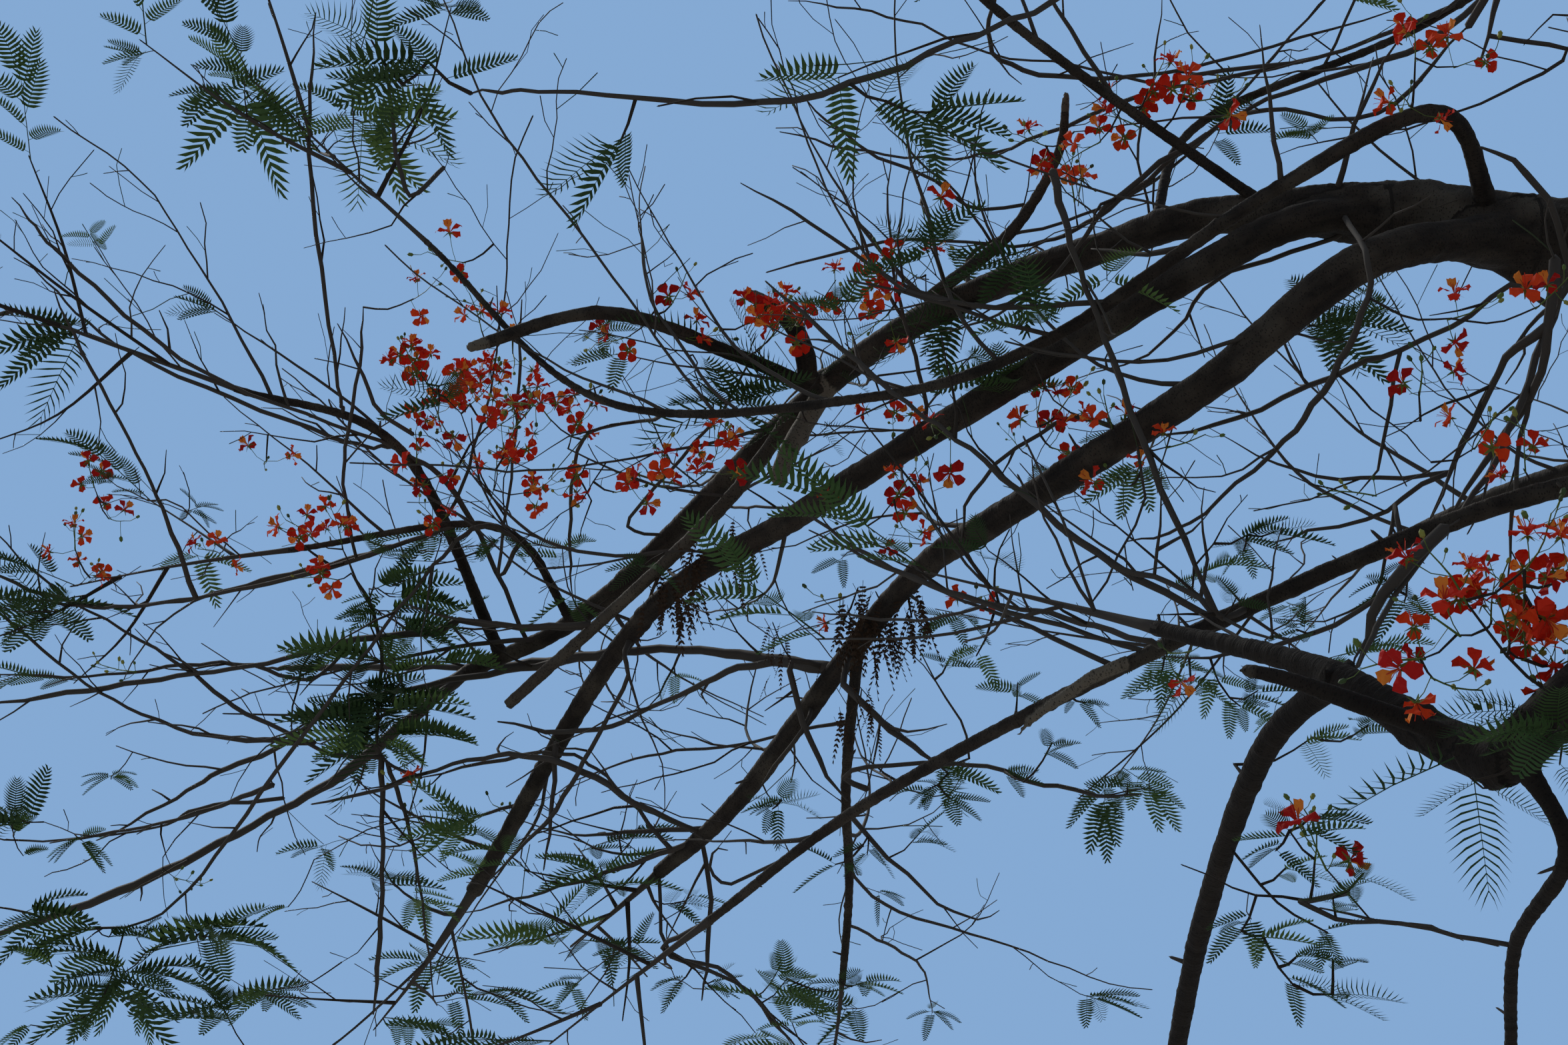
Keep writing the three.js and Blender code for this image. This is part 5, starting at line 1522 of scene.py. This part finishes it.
# What the ends of the twigs carry. On the near side, the heads of flowers and the fans of leaves
# stand where they show, at places in centimetres, with their flowers and buds or the length of
# their leaves. Everywhere else each end is bare, leafy, or in flower or bud by chance.
FLOWERS_AT = [
    ((-503, 232, 632), 7, 3), ((-491, 234, 628), 8, 2), ((-482, 229, 616), 7, 2), ((-473, 223, 604), 5, 4),
    ((-495, 238, 621), 7, 4), ((-448, 205, 597), 5, 3), ((-439, 198, 587), 5, 4), ((-464, 217, 595), 3, 3),
    ((-504, 247, 600), 2, 3), ((-498, 250, 594), 2, 4), ((-470, 231, 587), 3, 3), ((-457, 225, 576), 3, 4),
    ((-437, 205, 572), 3, 2), ((-422, 198, 563), 3, 3), ((-404, 188, 561), 4, 2), ((-388, 168, 556), 8, 4),
    ((-644, 296, 613), 3, 2), ((-638, 302, 601), 2, 2), ((-652, 307, 590), 3, 4), ((-649, 313, 577), 3, 2),
    ((-588, 290, 580), 3, 3), ((-546, 269, 576), 4, 2), ((-535, 269, 576), 4, 3), ((-537, 276, 562), 3, 3),
    ((-494, 249, 572), 2, 3), ((-506, 330, 494), 1, 3), ((-567, 265, 609), 2, 2), ((-482, 188, 655), 2, 4),
    ((-504, 212, 653), 2, 2), ((-475, 199, 632), 3, 4), ((-462, 194, 619), 3, 2), ((-400, 143, 611), 2, 2),
    ((-416, 156, 605), 3, 4), ((-394, 148, 600), 2, 4), ((-372, 128, 595), 4, 4), ((-364, 121, 586), 4, 2),
    ((-355, 111, 584), 4, 3), ((-342, 99, 587), 3, 3), ((-334, 98, 588), 3, 4), ((-326, 92, 577), 2, 4),
    ((-316, 87, 589), 3, 3), ((-313, 86, 614), 1, 2), ((-274, 60, 623), 2, 4), ((-271, 62, 619), 2, 2),
    ((-258, 51, 618), 2, 3), ((-267, 50, 596), 1, 3), ((-245, 49, 623), 3, 3), ((-242, 44, 633), 2, 3),
    ((-247, 46, 629), 2, 4), ((-232, 37, 626), 2, 2), ((-228, 37, 625), 3, 4), ((-170, -10, 608), 3, 2),
    ((-160, -17, 600), 2, 2), ((-172, -4, 595), 2, 3), ((-275, 108, 544), 3, 2), ((-269, 106, 548), 3, 3),
    ((-272, 102, 533), 2, 3), ((-256, 72, 525), 2, 4), ((-252, 71, 504), 2, 2), ((-241, 57, 511), 1, 2),
    ((-305, 110, 540), 2, 4), ((-325, 123, 559), 3, 3), ((-299, 114, 483), 2, 3), ((-323, 127, 526), 3, 2),
    ((-322, 129, 522), 3, 3), ((-344, 156, 535), 1, 2), ((-339, 181, 505), 1, 3), ((-170, -12, 517), 2, 2),
    ((-151, -31, 510), 2, 3), ((-179, -3, 498), 2, 4), ((-155, -12, 469), 2, 2), ((-168, -14, 475), 2, 3),
    ((-236, -72, 338), 2, 4), ((-254, 10, 423), 1, 4), ((-209, -125, 381), 3, 2), ((-211, -122, 374), 2, 2),
    ((-219, -120, 369), 2, 3), ((-216, -118, 365), 2, 4), ((-196, -128, 387), 4, 4),
    ((-196, -126, 382), 3, 4), ((-190, -127, 384), 3, 2), ((-199, -121, 373), 3, 3),
    ((-196, -120, 369), 3, 4), ((-191, -123, 376), 3, 2), ((-188, -119, 368), 3, 3),
    ((-203, -123, 377), 2, 3),
]
FANS_AT = [
    ((-378, 166, 585), 0.3), ((-515, 315, 526), 0.28), ((-562, 162, 711), 0.34), ((-516, 165, 704), 0.34),
    ((-652, 261, 665), 0.34), ((-666, 316, 571), 0.34), ((-218, 4, 342), 0.14), ((-227, 6, 360), 0.14),
    ((-601, 425, 431), 0.36), ((-453, 325, 433), 0.32), ((-432, 314, 456), 0.28), ((-182, 74, 568), 0.3),
    ((-196, -132, 347), 0.25), ((-288, 100, 560), 0.25), ((-303, 128, 596), 0.25), ((-359, 264, 398), 0.25),
    ((-491, 355, 486), 0.3), ((-637, 375, 421), 0.34), ((-675, 344, 487), 0.34), ((-590, 364, 444), 0.34),
    ((-525, 304, 525), 0.32), ((-526, 322, 512), 0.32), ((-392, -223, 437), 0.19), ((-429, -234, 448), 0.19),
    ((-434, -232, 444), 0.19), ((-340, -222, 447), 0.19), ((-330, -221, 445), 0.19),
    ((-440, -235, 452), 0.19), ((-361, 218, 451), 0.16), ((-364, 219, 448), 0.13), ((-342, 208, 424), 0.17),
    ((-331, 206, 427), 0.12), ((-311, 178, 441), 0.13), ((-303, 179, 438), 0.16), ((-313, 194, 431), 0.13),
    ((-247, 149, 433), 0.13), ((-272, 143, 445), 0.13), ((-284, 157, 439), 0.12), ((-251, 40, 429), 0.13),
    ((-244, 32, 423), 0.16), ((-236, 32, 423), 0.13), ((-230, 35, 417), 0.13), ((-227, 23, 417), 0.13),
    ((-218, 7, 429), 0.13), ((-231, 22, 445), 0.11), ((-228, 14, 461), 0.15), ((-220, 14, 462), 0.15),
    ((-229, 16, 457), 0.11), ((-188, 4, 436), 0.16), ((-194, 1, 442), 0.13), ((-299, 103, 460), 0.12),
    ((-306, 122, 467), 0.12), ((-286, 107, 452), 0.12), ((-267, 90, 439), 0.09), ((-362, 302, 412), 0.16),
    ((-356, 305, 404), 0.13), ((-331, 245, 392), 0.16), ((-340, 245, 392), 0.13), ((-403, 330, 446), 0.16),
    ((-396, 329, 449), 0.13), ((-402, 273, 520), 0.16), ((-222, -18, 388), 0.13), ((-212, -38, 384), 0.13),
    ((-242, -75, 344), 0.15), ((-237, -76, 347), 0.15), ((-245, -73, 340), 0.13), ((-234, -78, 327), 0.12),
    ((-227, -80, 332), 0.13), ((-255, -75, 320), 0.13), ((-250, -74, 319), 0.13), ((-243, -69, 309), 0.13),
    ((-234, -68, 307), 0.16), ((-234, -72, 314), 0.11), ((-242, -72, 315), 0.12), ((-401, 334, 415), 0.16),
    ((-387, 333, 416), 0.13), ((-357, 301, 391), 0.16),
]
OPEN_LEAVES_AT = [
    ((-211, -122, 340), (-211, -123, 317)), ((-214, -120, 346), (-244, -125, 333)),
    ((-210, -122, 340), (-223, -125, 333)), ((-206, -117, 340), (-196, -119, 333)),
    ((-196, -115, 359), (-215, -115, 359)), ((-196, -114, 358), (-215, -123, 352)),
    ((-196, -115, 359), (-207, -107, 366)), ((-196, -115, 359), (-205, -122, 350)),
    ((-191, -119, 345), (-187, -126, 335)), ((-388, 156, 605), (-417, 146, 608)),
    ((-370, 157, 600), (-379, 151, 618)), ((-360, 158, 591), (-394, 156, 590)),
    ((-369, 157, 588), (-408, 166, 571)), ((-359, 164, 589), (-389, 161, 576)),
    ((-355, 162, 588), (-374, 166, 586)), ((-358, 149, 611), (-366, 142, 618)),
    ((-356, 147, 612), (-352, 144, 617)), ((-350, 154, 610), (-339, 146, 609)),
    ((-354, 165, 581), (-375, 173, 571)), ((-347, 166, 574), (-336, 164, 573)),
    ((-347, 165, 573), (-340, 168, 565)), ((-340, 162, 593), (-330, 157, 584)),
    ((-325, 156, 602), (-314, 157, 606)), ((-351, 161, 586), (-344, 160, 579)),
    ((-363, 155, 593), (-383, 151, 603)), ((-358, 163, 591), (-379, 151, 597)),
    ((-347, 160, 592), (-337, 159, 601)), ((-338, 154, 601), (-329, 148, 606)),
]
LEAVES_AT = [
    ((-521, 277, 559), (-495, 267, 563)), ((-516, 283, 559), (-487, 286, 566)),
    ((-520, 288, 560), (-535, 287, 557)), ((-514, 279, 556), (-492, 289, 557)),
    ((-518, 286, 553), (-492, 279, 549)), ((-512, 292, 552), (-491, 299, 551)),
    ((-513, 284, 545), (-490, 284, 540)), ((-520, 286, 551), (-539, 296, 554)),
    ((-521, 293, 549), (-534, 287, 544)), ((-520, 289, 533), (-559, 293, 539)),
    ((-526, 292, 539), (-545, 292, 534)), ((-519, 294, 546), (-520, 308, 541)),
    ((-517, 292, 528), (-493, 282, 529)), ((-498, 294, 534), (-472, 301, 534)),
    ((-520, 304, 526), (-528, 300, 530)), ((-518, 294, 522), (-508, 304, 525)),
    ((-521, 304, 514), (-543, 294, 517)), ((-522, 310, 513), (-561, 314, 519)),
    ((-518, 298, 515), (-484, 297, 512)), ((-522, 308, 505), (-566, 318, 508)),
    ((-519, 311, 510), (-485, 305, 505)), ((-517, 302, 505), (-506, 312, 499)),
    ((-520, 309, 504), (-509, 310, 497)), ((-525, 314, 505), (-546, 323, 509)),
    ((-521, 299, 513), (-527, 294, 504)), ((-516, 296, 530), (-509, 301, 535)),
    ((-497, 278, 582), (-488, 275, 583)), ((-473, 269, 577), (-482, 281, 575)),
    ((-472, 273, 579), (-464, 268, 571)), ((-631, 381, 432), (-655, 375, 425)),
    ((-635, 385, 437), (-673, 389, 442)), ((-677, 382, 457), (-647, 382, 453)),
    ((-629, 381, 432), (-595, 390, 435)), ((-624, 383, 441), (-571, 374, 441)),
    ((-629, 395, 430), (-631, 408, 416)), ((-631, 381, 431), (-639, 388, 413)),
    ((-628, 381, 446), (-613, 388, 454)), ((-641, 386, 448), (-621, 377, 449)),
    ((-677, 357, 483), (-678, 356, 500)), ((-679, 362, 485), (-670, 356, 495)),
    ((-653, 369, 485), (-646, 377, 492)), ((-650, 358, 482), (-657, 353, 472)),
    ((-651, 364, 483), (-645, 374, 474)), ((-640, 358, 509), (-649, 359, 502)),
    ((-637, 347, 505), (-629, 358, 504)), ((-649, 394, 417), (-659, 389, 408)),
    ((-651, 400, 419), (-653, 410, 412)), ((-670, 390, 412), (-680, 391, 404)),
    ((-645, 379, 450), (-674, 390, 449)), ((-665, 392, 437), (-683, 380, 443)),
    ((-663, 371, 452), (-683, 381, 446)), ((-675, 366, 477), (-664, 363, 479)),
    ((-633, 393, 435), (-618, 406, 429)), ((-564, 369, 456), (-573, 364, 449)),
    ((-572, 390, 427), (-588, 398, 423)),
]
DRY_FANS_AT = [
    ((-397, 231, 540), 0.25), ((-324, 180, 507), 0.3), ((-334, 176, 515), 0.34), ((-328, 168, 510), 0.28),
    ((-316, 162, 498), 0.3), ((-394, 221, 538), 0.34), ((-374, 200, 535), 0.24), ((-364, 191, 508), 0.18),
    ((-333, 182, 479), 0.22), ((-395, 200, 535), 0.3),
]

SEEN_FROM = np.array((-3.6, -6.4, 1.6))
SEEN_TILT = 25  # degrees above level
SEEN_WIDE, SEEN_HIGH = 0.33, 0.23  # to each side and up and down, for each metre ahead
IN_SIGHT = 0.16  # of the chance of leaves and buds, for twigs in sight from below the near side
SMALL_FAN = 0.2  # leaves shorter than this stand in a fan of few
LEAF_TWIG = 0.003  # radius of a twig with a single leaf
SHRUNK = 0.6  # of the length that the leaf had before it dried
FULL_HEAD = (7, 5)  # flowers and buds of a head that the solids have too
FAR_WEST = -3.4  # the leaves past this place along X are a piece of their own


def in_sight(place):
    """True if the place is in sight from below the near side, where the crown stands open."""
    right, deep, high = place - SEEN_FROM
    tilt = math.radians(SEEN_TILT)
    ahead = deep * math.cos(tilt) + high * math.sin(tilt)
    above = high * math.cos(tilt) - deep * math.sin(tilt)
    return ahead > 0 and abs(right) < SEEN_WIDE * ahead and abs(above) < SEEN_HIGH * ahead


blossom = Blossom()
foliage = {growth.name: Foliage() for growth in (west, front, back)}
for place, flowers, buds in FLOWERS_AT:
    place = in_metres(place)
    blossom.head(place, west.reach_out(place), flowers, buds)
for place, size in FANS_AT:
    place = in_metres(place)
    count = FAN.randrange(3, 6) if size < SMALL_FAN else FAN.randrange(7, 11)
    foliage["west"].fan(place, west.reach_out(place), count, size)
for place, tip in in_metres(LEAVES_AT):
    west.reach_out(place, LEAF_TWIG)
    way = tip - place
    long = np.linalg.norm(way)
    for spread in (0, 0.25, 0.35):
        turned = unit(way / long + 0.3 * UP + spread * np.array([FAN.gauss(0, 1) for _ in range(3)]))
        tone, kind = FAN.randrange(3), FAN.randrange(2)
        foliage["west"].leaf(place, turned, long, 0.3, tone, kind)
for place, tip in in_metres(OPEN_LEAVES_AT):
    west.reach_out(place, LEAF_TWIG)
    way = tip - place
    across = np.array((1, 0, 0)) if abs(way[0]) < 0.05 else None
    foliage["west"].leaf(place, unit(way), np.linalg.norm(way), 0.1, 0, OPEN_SHAPE, across)
for place, size in DRY_FANS_AT:
    place = in_metres(place)
    foliage["west"].fan(place, west.reach_out(place), 14, size * SHRUNK, DRY)
for growth in (west, front, back):
    leaves = foliage[growth.name]
    for count, (root, direction, length) in enumerate(growth.sprays):
        if in_sight(root) and count % 2:
            continue
        leaves.spray(growth, root, direction, length)
    for place in growth.heads:
        way = growth.reach_out(place)
        blossom.head(place, way, 0 if in_sight(place) else FULL_HEAD[0], FULL_HEAD[1])
    for place, way in growth.ends:
        chance = FAN.random() / (IN_SIGHT if in_sight(place) else 1)
        flowery = 0 if in_sight(place) else FLOWERY_SHARE
        if chance < flowery:
            blossom.head(place, way, HEAD.randrange(3, 12), HEAD.randrange(3, 7))
        elif chance < flowery + BUDDY_SHARE:
            blossom.head(place, way, 0, HEAD.randrange(4, 10), 0.9)
        elif chance < flowery + BUDDY_SHARE + LEAFY_SHARE:
            leaves.fan(place, way, FAN.randrange(3, 8), FAN.uniform(0.12, 0.27))

twig_finishes = [plain_finish(name, colour, 0.85) for name, colour in TWIG_TONES]
leaf_finishes = [plain_finish(name, colour, 0.9, 0.05) for name, colour in LEAF_TONES]
for growth, group in ((west, masses[:WEST_END]), (front, masses[WEST_END:FRONT_END]),
                      (back, masses[FRONT_END:])):
    twigs = joined_piece(growth.name + "_twigs", *swept(growth.runs), twig_finishes, True)
    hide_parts(*[mass.bough + "_foliage" for mass in group])
    split = FAR_WEST if growth is west else -math.inf
    foliage[growth.name].piece(growth.name + "_leaves", leaf_finishes, low=split)
foliage["west"].piece("far_west_leaves", leaf_finishes, high=FAR_WEST)
petal_finishes = [plain_finish(name, colour, 0.7, 0.08) for name, colour in PETAL_TONES]
bud_finishes = [plain_finish(name, colour, 0.6) for name, colour in BUD_TONES]
blossom.stand(blossom.flowers, flower_shape(), 3, petal_finishes, "blossom")
blossom.stand(blossom.buds, bud_shape(), 0, bud_finishes, "flower_buds")
joined_piece("flower_stalks", *swept(blossom.stalks), bud_finishes[:1], True)


# Light, floor and camera. A plain pale floor under an even pale blue light, a broad soft lamp from
# high behind, and the camera low under the crown, looking up through the boughs.
LENS = 58
SENSOR = 36
SKY = (0.235, 0.400, 0.655, 1)
FILL = (0.25, 0.30, 0.37, 1)

floor_mesh = bmesh.new()
bmesh.ops.create_circle(floor_mesh, cap_ends=True, segments=96, radius=60)
floor_data = bpy.data.meshes.new("floor")
floor_mesh.to_mesh(floor_data)
floor_mesh.free()
floor = bpy.data.objects.new("floor", floor_data)
bpy.context.collection.objects.link(floor)
floor_finish = bpy.data.materials.new("pale_floor")
floor_finish.use_nodes = True
floor_finish.node_tree.nodes["Principled BSDF"].inputs["Base Color"].default_value = (0.42, 0.41, 0.40, 1)
floor_finish.node_tree.nodes["Principled BSDF"].inputs["Roughness"].default_value = 0.9
floor_data.materials.append(floor_finish)

world = bpy.data.worlds.new("even_light")
world.use_nodes = True
seen = node(world.node_tree, "ShaderNodeLightPath")
sky = node(world.node_tree, "ShaderNodeMix", data_type="RGBA")
sky.inputs["A"].default_value = FILL
sky.inputs["B"].default_value = SKY
world.node_tree.links.new(seen.outputs["Is Camera Ray"], sky.inputs["Factor"])
world.node_tree.links.new(sky.outputs["Result"], world.node_tree.nodes["Background"].inputs["Color"])
bpy.context.scene.world = world

lamp = bpy.data.lights.new("high_soft_lamp", "SUN")
lamp.energy = 2.3
lamp.angle = math.radians(22)
lamp.color = (1.0, 0.97, 0.92)
lamp_stand = bpy.data.objects.new("high_soft_lamp", lamp)
lamp_stand.rotation_euler = (math.radians(-38), math.radians(-28), 0)
bpy.context.collection.objects.link(lamp_stand)

lens = bpy.data.cameras.new("camera")
lens.lens = LENS
lens.sensor_width = SENSOR
lens.clip_start = 0.05
lens.clip_end = 300
camera = bpy.data.objects.new("camera", lens)
camera.location = SEEN_FROM
camera.rotation_euler = (math.radians(90 + SEEN_TILT), 0, 0)
bpy.context.collection.objects.link(camera)
bpy.context.scene.camera = camera
bpy.context.scene.view_settings.view_transform = "Standard"
